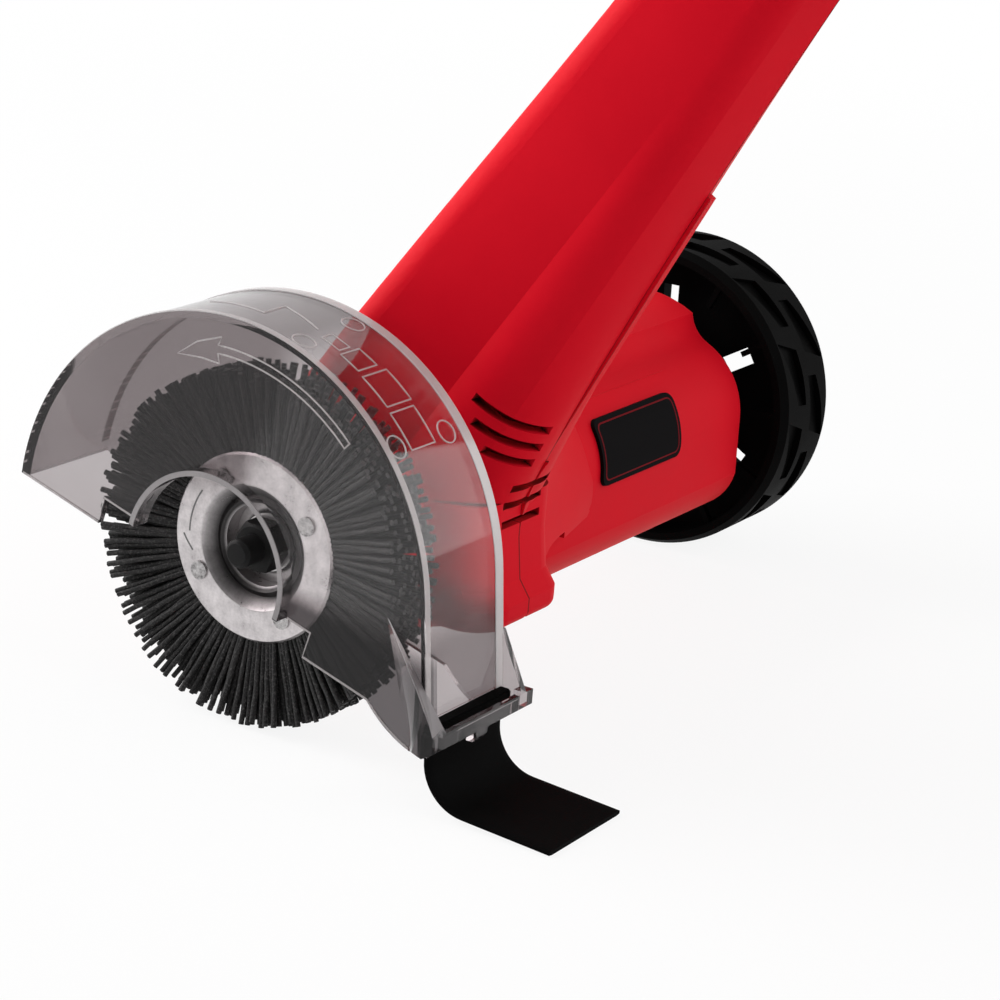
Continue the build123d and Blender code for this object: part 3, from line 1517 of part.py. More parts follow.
eye_inner = aux_boss_half + 0.3
eye_outer = eye_inner + aux_eye_width
eye_middle = (eye_inner + eye_outer) / 2
rest = radians(aux_rest_angle)
loop_dir = (0, *tube_yz(cos(rest), -sin(rest)))
loop_origin = (x_seam, *tube_yz(aux_place, aux_p))
loop_normal = Vector(1, 0, 0).cross(Vector(*loop_dir))
loop_plane = Plane(origin=loop_origin, x_dir=(1, 0, 0), z_dir=loop_normal)
with BuildPart() as aux_loop:
    with BuildLine(loop_plane):
        loop_path = FilletPolyline(
            (-eye_middle, aux_eye_length - 4),
            (-eye_middle, aux_eye_length + 8),
            (-aux_half_width, aux_height - 42),
            (-aux_half_width, aux_height),
            (aux_half_width, aux_height),
            (aux_half_width, aux_height - 42),
            (eye_middle, aux_eye_length + 8),
            (eye_middle, aux_eye_length - 4),
            radius=14,
        )
    with BuildSketch(loop_path ^ 0):
        Circle(aux_bar_radius)
    sweep()
    with BuildSketch(loop_plane):
        with Locations((eye_middle, 0), (-eye_middle, 0)):
            Rectangle(aux_eye_width, aux_eye_length, align=(Align.CENTER, Align.MIN))
    extrude(amount=aux_bar_radius, both=True)
    side_pillar(aux_pivot, aux_boss_radius + 0.5, eye_inner, eye_outer)
    side_pillar(aux_pivot, aux_boss_radius + 0.5, -eye_inner, -eye_outer)
    side_pillar(aux_pivot, aux_bolt_radius + running_gap, -eye_outer - 5, eye_outer + 5, mode=Mode.SUBTRACT)
save(aux_loop.part, "aux_loop")

knob_start = eye_outer + 0.5
with BuildPart() as aux_bolt:
    side_pillar(aux_pivot, aux_bolt_radius, -eye_outer, knob_start + 12)
    with BuildSketch(side_plane.offset(-eye_outer)):
        with Locations(aux_pivot):
            RegularPolygon(5, 6, major_radius=False)
    extrude(amount=-4)
save(aux_bolt.part, "aux_bolt")

with BuildPart() as aux_knob:
    side_pillar(aux_pivot, aux_knob_radius, knob_start + 3, knob_start + 14)
    fillet(aux_knob.edges(), 1.5)
    side_pillar(aux_pivot, aux_knob_radius * 0.6, knob_start, knob_start + 4)
    with BuildSketch(side_plane.offset(knob_start + 3)):
        with Locations(aux_pivot):
            with PolarLocations(aux_knob_radius + 1.5, 8):
                Circle(3.6)
    extrude(amount=11, mode=Mode.SUBTRACT)
    side_pillar(aux_pivot, aux_bolt_radius + running_gap, knob_start, knob_start + 12.2, mode=Mode.SUBTRACT)
save(aux_knob.part, "aux_knob")
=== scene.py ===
from math import cos, pi, radians, sin, tan

import bmesh
import bpy
from mathutils import Matrix, Vector


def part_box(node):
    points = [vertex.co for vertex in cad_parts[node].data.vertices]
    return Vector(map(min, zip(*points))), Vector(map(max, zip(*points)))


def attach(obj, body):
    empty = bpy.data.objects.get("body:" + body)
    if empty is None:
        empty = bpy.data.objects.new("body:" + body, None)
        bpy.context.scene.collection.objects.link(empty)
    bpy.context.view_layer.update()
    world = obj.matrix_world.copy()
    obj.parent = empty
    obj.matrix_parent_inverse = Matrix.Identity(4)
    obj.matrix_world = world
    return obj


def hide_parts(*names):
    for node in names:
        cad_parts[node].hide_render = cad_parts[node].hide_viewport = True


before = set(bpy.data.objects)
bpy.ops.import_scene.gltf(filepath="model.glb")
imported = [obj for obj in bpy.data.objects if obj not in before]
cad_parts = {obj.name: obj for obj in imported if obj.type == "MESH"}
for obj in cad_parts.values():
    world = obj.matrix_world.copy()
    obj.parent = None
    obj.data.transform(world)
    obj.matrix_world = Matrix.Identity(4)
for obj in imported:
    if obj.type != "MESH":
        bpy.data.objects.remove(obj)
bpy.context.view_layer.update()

# Studio: a pale floor that the brush, the wheel and the flap stand on, a large soft lamp to the left
# of the camera, two weak ones to its right, and a white surround. None of it is part of the tool.
mm = 0.001


def add_node(tree, kind, inputs=None, **settings):
    """Add a node, set its options, and give each named input a value or a link."""
    made = tree.nodes.new(kind)
    for option, value in settings.items():
        setattr(made, option, value)
    for name, value in (inputs or {}).items():
        if isinstance(value, bpy.types.NodeSocket):
            tree.links.new(value, made.inputs[name])
        else:
            made.inputs[name].default_value = value
    return made


def calculate(tree, operation, first, second=0.0, kind="ShaderNodeMath"):
    """Output of one arithmetic node on two values or sockets."""
    return add_node(tree, kind, {0: first, 1: second}, operation=operation).outputs[0]


def graded(tree, value, start, end, low=0.0, high=1.0, curve="LINEAR"):
    """Output that runs from low to high as a value goes from start to end."""
    limits = {"Value": value, "From Min": start, "From Max": end, "To Min": low, "To Max": high}
    return add_node(tree, "ShaderNodeMapRange", limits, interpolation_type=curve).outputs["Result"]


def white_to_the_eye(tree):
    """Factor that is 1 for rays from the camera, from gloss and through clear plastic."""
    path = add_node(tree, "ShaderNodeLightPath").outputs
    seen = calculate(tree, "MAXIMUM", path["Is Camera Ray"], path["Is Glossy Ray"])
    return calculate(tree, "MAXIMUM", seen, path["Is Transmission Ray"])


def link_object(piece):
    """Put a new object into the scene."""
    bpy.context.scene.collection.objects.link(piece)
    return piece


scene = bpy.context.scene
scene.view_settings.view_transform = "Standard"

floor_level = -50.2 * mm
floor_reach = 5.0
floor_mesh = bpy.data.meshes.new("floor")
disc = bmesh.new()
bmesh.ops.create_circle(disc, cap_ends=True, segments=96, radius=floor_reach)
bmesh.ops.translate(disc, verts=disc.verts, vec=(-0.1, 0.2, floor_level))
disc.to_mesh(floor_mesh)
disc.free()
floor = link_object(bpy.data.objects.new("floor", floor_mesh))
floor_paint = bpy.data.materials.new("floor_paint")
floor_paint.use_nodes = True
tree = floor_paint.node_tree
floor_shader = tree.nodes["Principled BSDF"]
floor_shader.inputs["Base Color"].default_value = (0.9, 0.9, 0.9, 1)
floor_shader.inputs["Roughness"].default_value = 0.9
floor_shader.inputs["Specular IOR Level"].default_value = 0.1
place = add_node(tree, "ShaderNodeTexCoord").outputs["Object"]
away = add_node(tree, "ShaderNodeVectorMath", {0: place}, operation="LENGTH").outputs["Value"]
white_share = 0.89
shadow_reach, white_reach = 0.25, 1.3
fade = graded(tree, away, shadow_reach, white_reach, white_share, 1.0, "SMOOTHSTEP")
fade = calculate(tree, "MULTIPLY", fade, white_to_the_eye(tree))
glow = add_node(tree, "ShaderNodeEmission", {"Color": (1, 1, 1, 1), "Strength": 1.0}).outputs[0]
blend = add_node(tree, "ShaderNodeMixShader", {0: fade, 1: floor_shader.outputs[0], 2: glow})
tree.links.new(blend.outputs[0], tree.nodes["Material Output"].inputs["Surface"])
floor.data.materials.append(floor_paint)

surround = bpy.data.worlds.new("surround")
surround.use_nodes = True
scene.world = surround
tree = surround.node_tree
surround_light = 0.34
dim_side = (0.81, 0.5, 0.31)
heading = add_node(tree, "ShaderNodeTexCoord").outputs["Generated"]
# the eye sees white all round, but gloss reflects a dimmer side behind the camera
facing = add_node(
    tree, "ShaderNodeVectorMath", {0: heading, 1: dim_side}, operation="DOT_PRODUCT"
).outputs["Value"]
in_gloss = graded(tree, facing, -0.1, 0.6, 1.0, surround_light)
path = add_node(tree, "ShaderNodeLightPath").outputs
in_gloss = calculate(tree, "MULTIPLY", in_gloss, path["Is Glossy Ray"])
strength = calculate(tree, "MAXIMUM", path["Is Camera Ray"], path["Is Transmission Ray"])
strength = calculate(tree, "MAXIMUM", calculate(tree, "MAXIMUM", strength, in_gloss), surround_light)
tree.links.new(strength, tree.nodes["Background"].inputs["Strength"])
tree.nodes["Background"].inputs["Color"].default_value = (1, 1, 1, 1)


def soft_lamp(name, place, aim, size, watts):
    """Square area lamp at place, turned towards aim."""
    lamp = bpy.data.lights.new(name, "AREA")
    lamp.size = size
    lamp.energy = watts
    holder = link_object(bpy.data.objects.new(name, lamp))
    turn = (Vector(aim) - Vector(place)).to_track_quat("-Z", "Y")
    holder.matrix_world = Matrix.LocRotScale(Vector(place), turn, None)


# place, aim, side in metres and watts of each lamp
soft_lamp("main_lamp", (0.35, -1.25, 0.78), (-0.08, 0.05, 0.08), 1.2, 27.5)
soft_lamp("side_lamp", (-1.15, 1.0, 0.4), (-0.05, 0.08, 0.08), 1.1, 5.0)
soft_lamp("fill_lamp", (-0.3, 1.3, 1.05), (-0.08, 0.08, 0.08), 0.8, 5.5)

# camera fitted to the brush, the wheel, the hub and the edges of the tube in the photo
camera = bpy.data.cameras.new("camera")
camera.sensor_width = 36.0
camera.lens = 105.83
camera.clip_start = 0.01
camera.clip_end = 50.0
camera_holder = link_object(bpy.data.objects.new("camera", camera))
camera_right = Vector((-0.5417, 0.8370, 0.0777))
camera_up = Vector((-0.2223, -0.2318, 0.9470))
camera_back = Vector((0.8106, 0.4957, 0.3116))
camera_turn = Matrix((camera_right, camera_up, camera_back)).transposed().to_4x4()
camera_turn.translation = Vector((0.59915, 0.44236, 0.26255))
camera_holder.matrix_world = camera_turn
scene.camera = camera_holder


# Spindle: a turned steel shaft in a sealed ball bearing, with an 8 mm stud. A black hexagon nut and
# a plated washer clamp the brush on it.
def dress(material, *names):
    """Give CAD nodes their finish."""
    for name in names:
        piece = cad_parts[name]
        piece.data.materials.clear()
        piece.data.materials.append(material)


def mix_colours(tree, share, first, second):
    """Colour between two, each a triple or a socket."""
    ends = [tone if isinstance(tone, bpy.types.NodeSocket) else (*tone, 1) for tone in (first, second)]
    sockets = {0: share, 6: ends[0], 7: ends[1]}
    return add_node(tree, "ShaderNodeMix", sockets, data_type="RGBA").outputs[2]


def surface(name, tones, gloss, grain, metallic=0.0, drift=45.0, stretch=(1, 1, 1), mirror=0.5):
    """Material that drifts between two tones, with a fine grain that also varies the gloss.

    gloss is the lowest and highest roughness; grain is its count per metre and its depth in metres;
    mirror is how strongly the surface reflects, 0.5 for a polished plastic.
    """
    material = bpy.data.materials.new(name)
    material.use_nodes = True
    tree = material.node_tree
    shader = tree.nodes["Principled BSDF"]
    place = add_node(tree, "ShaderNodeTexCoord").outputs["Object"]
    cloud = add_node(
        tree, "ShaderNodeTexNoise", {"Vector": place, "Scale": drift, "Detail": 3.0, "Roughness": 0.55}
    ).outputs["Fac"]
    drawn = add_node(tree, "ShaderNodeMapping", {"Vector": place, "Scale": stretch}).outputs[0]
    fine = add_node(
        tree, "ShaderNodeTexNoise", {"Vector": drawn, "Scale": grain[0], "Detail": 2.0, "Roughness": 0.6}
    ).outputs["Fac"]
    cloud_part = calculate(tree, "MULTIPLY", cloud, 0.7)
    fine_part = calculate(tree, "MULTIPLY", fine, 0.3)
    both = calculate(tree, "ADD", cloud_part, fine_part)
    lowest, highest = 0.3, 0.7
    share = graded(tree, both, lowest, highest)
    tree.links.new(mix_colours(tree, share, *tones), shader.inputs["Base Color"])
    tree.links.new(graded(tree, both, lowest, highest, *gloss), shader.inputs["Roughness"])
    bump = add_node(tree, "ShaderNodeBump", {"Strength": 0.6, "Distance": grain[1], "Height": fine})
    tree.links.new(bump.outputs[0], shader.inputs["Normal"])
    shader.inputs["Metallic"].default_value = metallic
    shader.inputs["Specular IOR Level"].default_value = mirror
    return material


black_oxide = surface(
    "black_oxide",
    tones=[(0.006, 0.006, 0.0065), (0.02, 0.0195, 0.019)],
    gloss=(0.4, 0.58),
    grain=(2600, 0.05 * mm),
    mirror=0.1,
)
ground_steel = surface(
    "ground_steel",
    tones=[(0.5, 0.5, 0.52), (0.66, 0.66, 0.67)],
    gloss=(0.2, 0.34),
    grain=(900, 0.03 * mm),
    metallic=1.0,
    stretch=(9, 1, 1),
)
zinc_plate = surface(
    "zinc_plate",
    tones=[(0.40, 0.385, 0.385), (0.62, 0.60, 0.60)],
    gloss=(0.24, 0.46),
    grain=(1500, 0.05 * mm),
    metallic=1.0,
    drift=160.0,
)
seal_rubber = surface(
    "seal_rubber",
    tones=[(0.006, 0.006, 0.006), (0.013, 0.013, 0.013)],
    gloss=(0.6, 0.75),
    grain=(3000, 0.05 * mm),
    mirror=0.2,
)
dress(black_oxide, "spindle", "spindle_nut")
dress(ground_steel, "spindle_bearing")
dress(zinc_plate, "spindle_washer")
dress(seal_rubber, "spindle_seal")


# Brush hub: two pressed discs of zinc-plated sheet, riveted through the bristle ring. The outer one
# is dished round the nut, and carries a stamped arrow for the way the brush turns.
hub_zinc = surface(
    "hub_zinc",
    tones=[(0.40, 0.375, 0.38), (0.74, 0.70, 0.705)],
    gloss=(0.24, 0.46),
    grain=(1300, 0.06 * mm),
    metallic=1.0,
    drift=210.0,
)
tree = hub_zinc.node_tree
shader = tree.nodes["Principled BSDF"]
plating = shader.inputs["Base Color"].links[0].from_socket
place = add_node(tree, "ShaderNodeTexCoord").outputs["Object"]
flat = calculate(tree, "MULTIPLY", place, (0, 1, 1), "ShaderNodeVectorMath")
reach = add_node(tree, "ShaderNodeVectorMath", {0: flat}, operation="LENGTH").outputs["Value"]
hub_radius = 26.5 * mm
ramp = add_node(tree, "ShaderNodeValToRGB", {0: calculate(tree, "DIVIDE", reach, hub_radius)})
# painted shade and reflection by radius in mm: dark under the nut and in the dish, bright on the flat
# ring
hub_painted_shade_tones = [
    (0.0, 0.05),
    (8.6, 0.07),
    (9.3, 0.6),
    (11.2, 0.7),
    (12.2, 0.07),
    (14.6, 0.1),
    (16.6, 0.45),
    (18.0, 1.0),
]
for i, (radius, tone) in enumerate(hub_painted_shade_tones):
    stop = ramp.color_ramp.elements[i] if i < 2 else ramp.color_ramp.elements.new(1.0)
    stop.position = radius * mm / hub_radius
    stop.color = (tone, tone, tone, 1)
painted_dish_shade = add_node(
    tree,
    "ShaderNodeMix",
    {0: 1.0, 6: plating, 7: ramp.outputs[0]},
    data_type="RGBA",
    blend_type="MULTIPLY",
).outputs[2]
tree.links.new(painted_dish_shade, shader.inputs["Base Color"])
dress(hub_zinc, "brush_plate_outer")
rivet_steel = surface(
    "rivet_steel",
    tones=[(0.12, 0.115, 0.115), (0.62, 0.6, 0.6)],
    gloss=(0.2, 0.4),
    grain=(1500, 0.12 * mm),
    metallic=1.0,
    drift=700.0,
)
dress(zinc_plate, "brush_plate_inner")
dress(rivet_steel, "hub_rivets")
stamp_dark = surface(
    "stamp_dark",
    tones=[(0.10, 0.10, 0.10), (0.2, 0.2, 0.2)],
    gloss=(0.4, 0.6),
    grain=(2500, 0.03 * mm),
    metallic=0.7,
)


def close_mesh(name, build):
    """Mesh from finished faces, all turned outwards."""
    bmesh.ops.recalc_face_normals(build, faces=build.faces)
    mesh = bpy.data.meshes.new(name)
    build.to_mesh(mesh)
    build.free()
    return mesh


def strip_mesh(name, lines, proud, width, lay):
    """Thin raised strips along lines of (a, b) points, laid on a surface by lay(a, b, height)."""
    build = bmesh.new()
    for line, closed in lines:
        count = len(line)
        rings = []
        for i, point in enumerate(line):
            before = line[i - 1] if (i or closed) else point
            after = line[(i + 1) % count] if (i + 1 < count or closed) else point
            along = (Vector(after) - Vector(before)).normalized()
            side = Vector((-along.y, along.x)) * width / 2
            left = Vector(point) + side
            right = Vector(point) - side
            corners = [(left, 0.0), (left, proud), (right, proud), (right, 0.0)]
            rings.append([build.verts.new(lay(c.x, c.y, h)) for c, h in corners])
        steps = count if closed else count - 1
        for i in range(steps):
            first, second = rings[i], rings[(i + 1) % count]
            for k in range(4):
                build.faces.new((first[k], first[(k + 1) % 4], second[(k + 1) % 4], second[k]))
        if not closed:
            build.faces.new(rings[0])
            build.faces.new(rings[-1])
    return close_mesh(name, build)


def arc_points(radius, start, end, steps):
    """Points of an arc round the spindle, angles in degrees."""
    turns = [radians(start + (end - start) * i / steps) for i in range(steps + 1)]
    return [(radius * cos(t), radius * sin(t)) for t in turns]


def polar_places(places):
    """Y and Z of (radius, angle in degrees) places round the spindle."""
    return [(r * cos(radians(a)), r * sin(radians(a))) for r, a in places]


def add_piece(name, mesh, material, body):
    """Finished piece at the origin that rides on a body."""
    piece = link_object(bpy.data.objects.new(name, mesh))
    mesh.materials.clear()
    mesh.materials.append(material)
    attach(piece, body)
    return piece


hub_arrow_radius = 21.6 * mm
hub_arrow_head = [(23.6 * mm, 183.5), (22.6 * mm, 188.0), (21.0 * mm, 195.5)]
hub_arrow = [
    (arc_points(hub_arrow_radius, 146, 181, 16), False),
    (polar_places(hub_arrow_head), False),
]
add_piece(
    "hub_arrow",
    strip_mesh("hub_arrow", hub_arrow, 0.06 * mm, 0.45 * mm, lambda y, z, h: (h, y, z)),
    stamp_dark,
    "brush",
)


# Bristles: eight rows of crimped abrasive nylon strands that fan out of a moulded ring held between
# the hub discs. Geometry nodes draw each strand from its root to its tip.
def node_tree(name, sizes):
    """Geometry node tree with a named input for each size."""
    tree = bpy.data.node_groups.new(name, "GeometryNodeTree")
    tree.interface.new_socket("Geometry", in_out="INPUT", socket_type="NodeSocketGeometry")
    for label, value in sizes.items():
        kind = "NodeSocketInt" if isinstance(value, int) else "NodeSocketFloat"
        tree.interface.new_socket(label, in_out="INPUT", socket_type=kind)
    tree.interface.new_socket("Geometry", in_out="OUTPUT", socket_type="NodeSocketGeometry")
    return tree, tree.nodes.new("NodeGroupInput").outputs, tree.nodes.new("NodeGroupOutput")


def close_tree(tree, geometry, output, material):
    """End a tree: realize what it placed and give it its material."""
    real = add_node(tree, "GeometryNodeRealizeInstances", {"Geometry": geometry}).outputs[0]
    done = add_node(tree, "GeometryNodeSetMaterial", {"Geometry": real, "Material": material}).outputs[0]
    tree.links.new(done, output.inputs["Geometry"])


def grow_mesh(name, tree, sizes, start):
    """Plain mesh that a tree makes from its sizes and starting points."""
    points = bpy.data.meshes.new(name + "_start")
    points.from_pydata(start, [], [])
    grower = link_object(bpy.data.objects.new(name + "_start", points))
    modifier = grower.modifiers.new("grow", "NODES")
    modifier.node_group = tree
    for item in tree.interface.items_tree:
        if item.in_out == "INPUT" and item.name in sizes:
            modifier[item.identifier] = sizes[item.name]
    graph = bpy.context.evaluated_depsgraph_get()
    mesh = bpy.data.meshes.new_from_object(
        grower.evaluated_get(graph), preserve_all_data_layers=True, depsgraph=graph
    )
    mesh.name = name
    grower.modifiers.clear()
    bpy.data.objects.remove(grower)
    return mesh


strand_nylon = bpy.data.materials.new("strand_nylon")
strand_nylon.use_nodes = True
tree = strand_nylon.node_tree
shader = tree.nodes["Principled BSDF"]
place = add_node(tree, "ShaderNodeTexCoord").outputs["Object"]
shade = add_node(tree, "ShaderNodeAttribute", attribute_name="shade").outputs["Fac"]
along = add_node(tree, "ShaderNodeAttribute", attribute_name="along").outputs["Fac"]
grit = add_node(
    tree, "ShaderNodeTexNoise", {"Vector": place, "Scale": 1500.0, "Detail": 2.0, "Roughness": 0.7}
).outputs["Fac"]
sparkle = graded(tree, grit, 0.52, 0.66)
# random tone per strand and grit specks, with painted shade that darkens each strand towards the hub
tone = calculate(tree, "MULTIPLY", shade, 0.25)
tone = calculate(tree, "ADD", tone, calculate(tree, "MULTIPLY", along, 0.15))
tone = calculate(tree, "ADD", tone, calculate(tree, "MULTIPLY", sparkle, 1.1))
nylon = mix_colours(tree, tone, (0.0025, 0.0025, 0.0026), (0.058, 0.0555, 0.0555))
tree.links.new(nylon, shader.inputs["Base Color"])
shader.inputs["Roughness"].default_value = 0.6
shader.inputs["Specular IOR Level"].default_value = 0.2
bump = add_node(tree, "ShaderNodeBump", {"Strength": 0.9, "Distance": 0.25 * mm, "Height": grit})
tree.links.new(bump.outputs[0], shader.inputs["Normal"])

strand_sizes = {
    "Strands in a row": 128,
    "Rows": 8,
    "Middle": -5.25 * mm,
    "Root radius": 22.5 * mm,
    "Tip radius": 49.3 * mm,
    "Root half depth": 3.1 * mm,
    "Tip half depth": 8.9 * mm,
    "Strand radius": 0.78 * mm,
    "Wave": 1.5 * mm,
    "Seed": 7,
}
tree, size, output = node_tree("bristle_strands", strand_sizes)


def random_number(low, high, salt):
    """Random number for each strand, between low and high."""
    seed = calculate(tree, "ADD", size["Seed"], float(salt))
    made = add_node(tree, "FunctionNodeRandomValue", data_type="FLOAT")
    made.inputs[2].default_value = low
    made.inputs[3].default_value = high
    tree.links.new(seed, made.inputs["Seed"])
    return made.outputs[1]


def polar_point(x, radius, turn):
    """Point at x along the spindle, at a radius and a turn round it."""
    y = calculate(tree, "MULTIPLY", radius, calculate(tree, "COSINE", turn))
    z = calculate(tree, "MULTIPLY", radius, calculate(tree, "SINE", turn))
    return add_node(tree, "ShaderNodeCombineXYZ", {0: x, 1: y, 2: z}).outputs[0]


def keep(geometry, name, value, kind="FLOAT"):
    """Store a value on each point under a name."""
    made = add_node(
        tree, "GeometryNodeStoreNamedAttribute", {"Geometry": geometry, "Name": name}, data_type=kind
    )
    tree.links.new(value, made.inputs["Value"])
    return made.outputs[0]


def kept(name, kind):
    """Value that was stored under a name."""
    made = add_node(tree, "GeometryNodeInputNamedAttribute", {"Name": name}, data_type=kind)
    return made.outputs["Attribute"]


step_scatter, turn_scatter, tip_scatter = 0.22, 0.028, 0.6 * mm
tufts_per_radian, tuft_lean = 9.0, 0.10
longest_cut = 1.6 * mm
points_on_strand, waves_per_metre = 7, 170.0
index = add_node(tree, "GeometryNodeInputIndex").outputs[0]
row = calculate(tree, "FLOOR", calculate(tree, "DIVIDE", index, size["Strands in a row"]))
step = calculate(tree, "MODULO", index, size["Strands in a row"])
last_row = calculate(tree, "SUBTRACT", size["Rows"], 1.0)
spread = calculate(tree, "MULTIPLY", calculate(tree, "DIVIDE", row, last_row), 2.0)
spread = calculate(tree, "SUBTRACT", spread, 1.0)
stagger = calculate(tree, "MULTIPLY", row, 0.5)
step = calculate(tree, "ADD", step, stagger)
step = calculate(tree, "ADD", step, random_number(-step_scatter, step_scatter, 1))
turn = calculate(tree, "DIVIDE", calculate(tree, "MULTIPLY", step, 2 * pi), size["Strands in a row"])
root_spread = calculate(tree, "MULTIPLY", spread, size["Root half depth"])
root_x = calculate(tree, "ADD", size["Middle"], root_spread)
tip_spread = calculate(tree, "MULTIPLY", spread, size["Tip half depth"])
tip_x = calculate(tree, "ADD", size["Middle"], tip_spread)
tip_x = calculate(tree, "ADD", tip_x, random_number(-tip_scatter, tip_scatter, 2))
tufts_round = calculate(tree, "MULTIPLY", turn, tufts_per_radian)
tuft = add_node(tree, "ShaderNodeTexNoise", {"W": tufts_round, "Scale": 1.0}, noise_dimensions="1D")
lean = calculate(tree, "MULTIPLY", calculate(tree, "SUBTRACT", tuft.outputs[0], 0.5), tuft_lean)
tip_turn = calculate(tree, "ADD", turn, lean)
tip_turn = calculate(tree, "ADD", tip_turn, random_number(-turn_scatter, turn_scatter, 3))
short = calculate(tree, "POWER", random_number(0.0, 1.0, 4), 3.0)
short = calculate(tree, "MULTIPLY", short, longest_cut)
tip_radius = calculate(tree, "SUBTRACT", size["Tip radius"], short)
count = calculate(tree, "MULTIPLY", size["Strands in a row"], size["Rows"])
strands = add_node(tree, "GeometryNodePoints", {"Count": count}).outputs[0]
strands = keep(strands, "root", polar_point(root_x, size["Root radius"], turn), "FLOAT_VECTOR")
strands = keep(strands, "tip", polar_point(tip_x, tip_radius, tip_turn), "FLOAT_VECTOR")
strands = keep(strands, "shade", random_number(0.0, 1.0, 5))
line = add_node(tree, "GeometryNodeCurvePrimitiveLine").outputs[0]
line = add_node(
    tree, "GeometryNodeResampleCurve", {"Curve": line, "Count": points_on_strand}
).outputs[0]
strands = add_node(
    tree, "GeometryNodeInstanceOnPoints", {"Points": strands, "Instance": line}
).outputs[0]
strands = add_node(tree, "GeometryNodeRealizeInstances", {"Geometry": strands}).outputs[0]
factor = add_node(tree, "GeometryNodeSplineParameter").outputs["Factor"]
strands = keep(strands, "along", factor)
straight = add_node(tree, "ShaderNodeMix", {0: factor}, data_type="VECTOR")
tree.links.new(kept("root", "FLOAT_VECTOR"), straight.inputs[4])
tree.links.new(kept("tip", "FLOAT_VECTOR"), straight.inputs[5])
bend = add_node(
    tree,
    "ShaderNodeTexNoise",
    {
        "Vector": straight.outputs[1],
        "W": kept("shade", "FLOAT"),
        "Scale": waves_per_metre,
        "Detail": 0.0,
    },
    noise_dimensions="4D",
).outputs["Color"]
bend = calculate(tree, "SUBTRACT", bend, (0.5, 0.5, 0.5), "ShaderNodeVectorMath")
amount = calculate(tree, "MULTIPLY", size["Wave"], calculate(tree, "MINIMUM", factor, 0.75))
bend = add_node(tree, "ShaderNodeVectorMath", {0: bend, "Scale": amount}, operation="SCALE").outputs[0]
bent = calculate(tree, "ADD", straight.outputs[1], bend, "ShaderNodeVectorMath")
strands = add_node(tree, "GeometryNodeSetPosition", {"Geometry": strands, "Position": bent}).outputs[0]
ring = add_node(
    tree, "GeometryNodeCurvePrimitiveCircle", {"Resolution": 6, "Radius": size["Strand radius"]}
).outputs[0]
strands = add_node(
    tree, "GeometryNodeCurveToMesh", {"Curve": strands, "Profile Curve": ring, "Fill Caps": True}
).outputs[0]
close_tree(tree, strands, output, strand_nylon)
bristles = add_piece(
    "bristles", grow_mesh("bristles", tree, strand_sizes, []), strand_nylon, "brush"
)
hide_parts("brush_bristles")


def turned_mesh(name, profile, steps):
    """Ring turned round the spindle from a closed profile of (x, radius) points."""
    build = bmesh.new()
    rings = []
    for i in range(steps):
        turn = 2 * pi * i / steps
        rings.append([build.verts.new((x, r * cos(turn), r * sin(turn))) for x, r in profile])
    for i in range(steps):
        first, second = rings[i], rings[(i + 1) % steps]
        for k in range(len(profile)):
            after = (k + 1) % len(profile)
            build.faces.new((first[k], first[after], second[after], second[k]))
    return close_mesh(name, build)


ring_front, ring_back = -1.35 * mm, -9.15 * mm
ring_inner, ring_outer = 19.4 * mm, 24.6 * mm
ring_profile = [
    (ring_front, ring_inner),
    (ring_front, ring_outer),
    (ring_back, ring_outer),
    (ring_back, ring_inner),
]
ring_mesh = turned_mesh("bristle_ring", ring_profile, 96)
bristle_ring = add_piece("bristle_ring", ring_mesh, seal_rubber, "brush")
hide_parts("brush_bristles")


# Gearbox: a ground steel sun, three planets on pins and a fixed ring. It is hidden in the head, and
# turns the brush at a fifth of the motor's speed.
dress(
    ground_steel,
    "sun_pinion",
    "planet_gear_a",
    "planet_gear_b",
    "planet_gear_c",
    "planet_pins",
    "planet_carrier",
    "ring_gear",
)
dress(zinc_plate, "gear_plate")


# Motor: a rolled steel can with two ferrite magnets, a wound armature on ball bearings, a copper
# commutator with carbon brushes, a moulded end cap and a fan.
ferrite = surface(
    "ferrite",
    tones=[(0.03, 0.03, 0.032), (0.06, 0.058, 0.058)],
    gloss=(0.55, 0.7),
    grain=(2200, 0.06 * mm),
)
copper = surface(
    "copper",
    tones=[(0.62, 0.26, 0.13), (0.78, 0.38, 0.22)],
    gloss=(0.25, 0.4),
    grain=(1400, 0.03 * mm),
    metallic=1.0,
)
carbon = surface(
    "carbon",
    tones=[(0.015, 0.015, 0.016), (0.04, 0.04, 0.042)],
    gloss=(0.45, 0.6),
    grain=(2600, 0.04 * mm),
)
black_nylon = surface(
    "black_nylon",
    tones=[(0.005, 0.005, 0.0052), (0.010, 0.0098, 0.0096)],
    gloss=(0.42, 0.58),
    grain=(3200, 0.05 * mm),
    mirror=0.2,
)
dress(zinc_plate, "motor_can", "motor_screws")
dress(ground_steel, "armature", "motor_front_bearing", "motor_rear_bearing")
dress(ferrite, "field_magnets")
dress(copper, "commutator")
dress(carbon, "carbon_brushes")
dress(black_nylon, "motor_end_cap", "motor_fan")


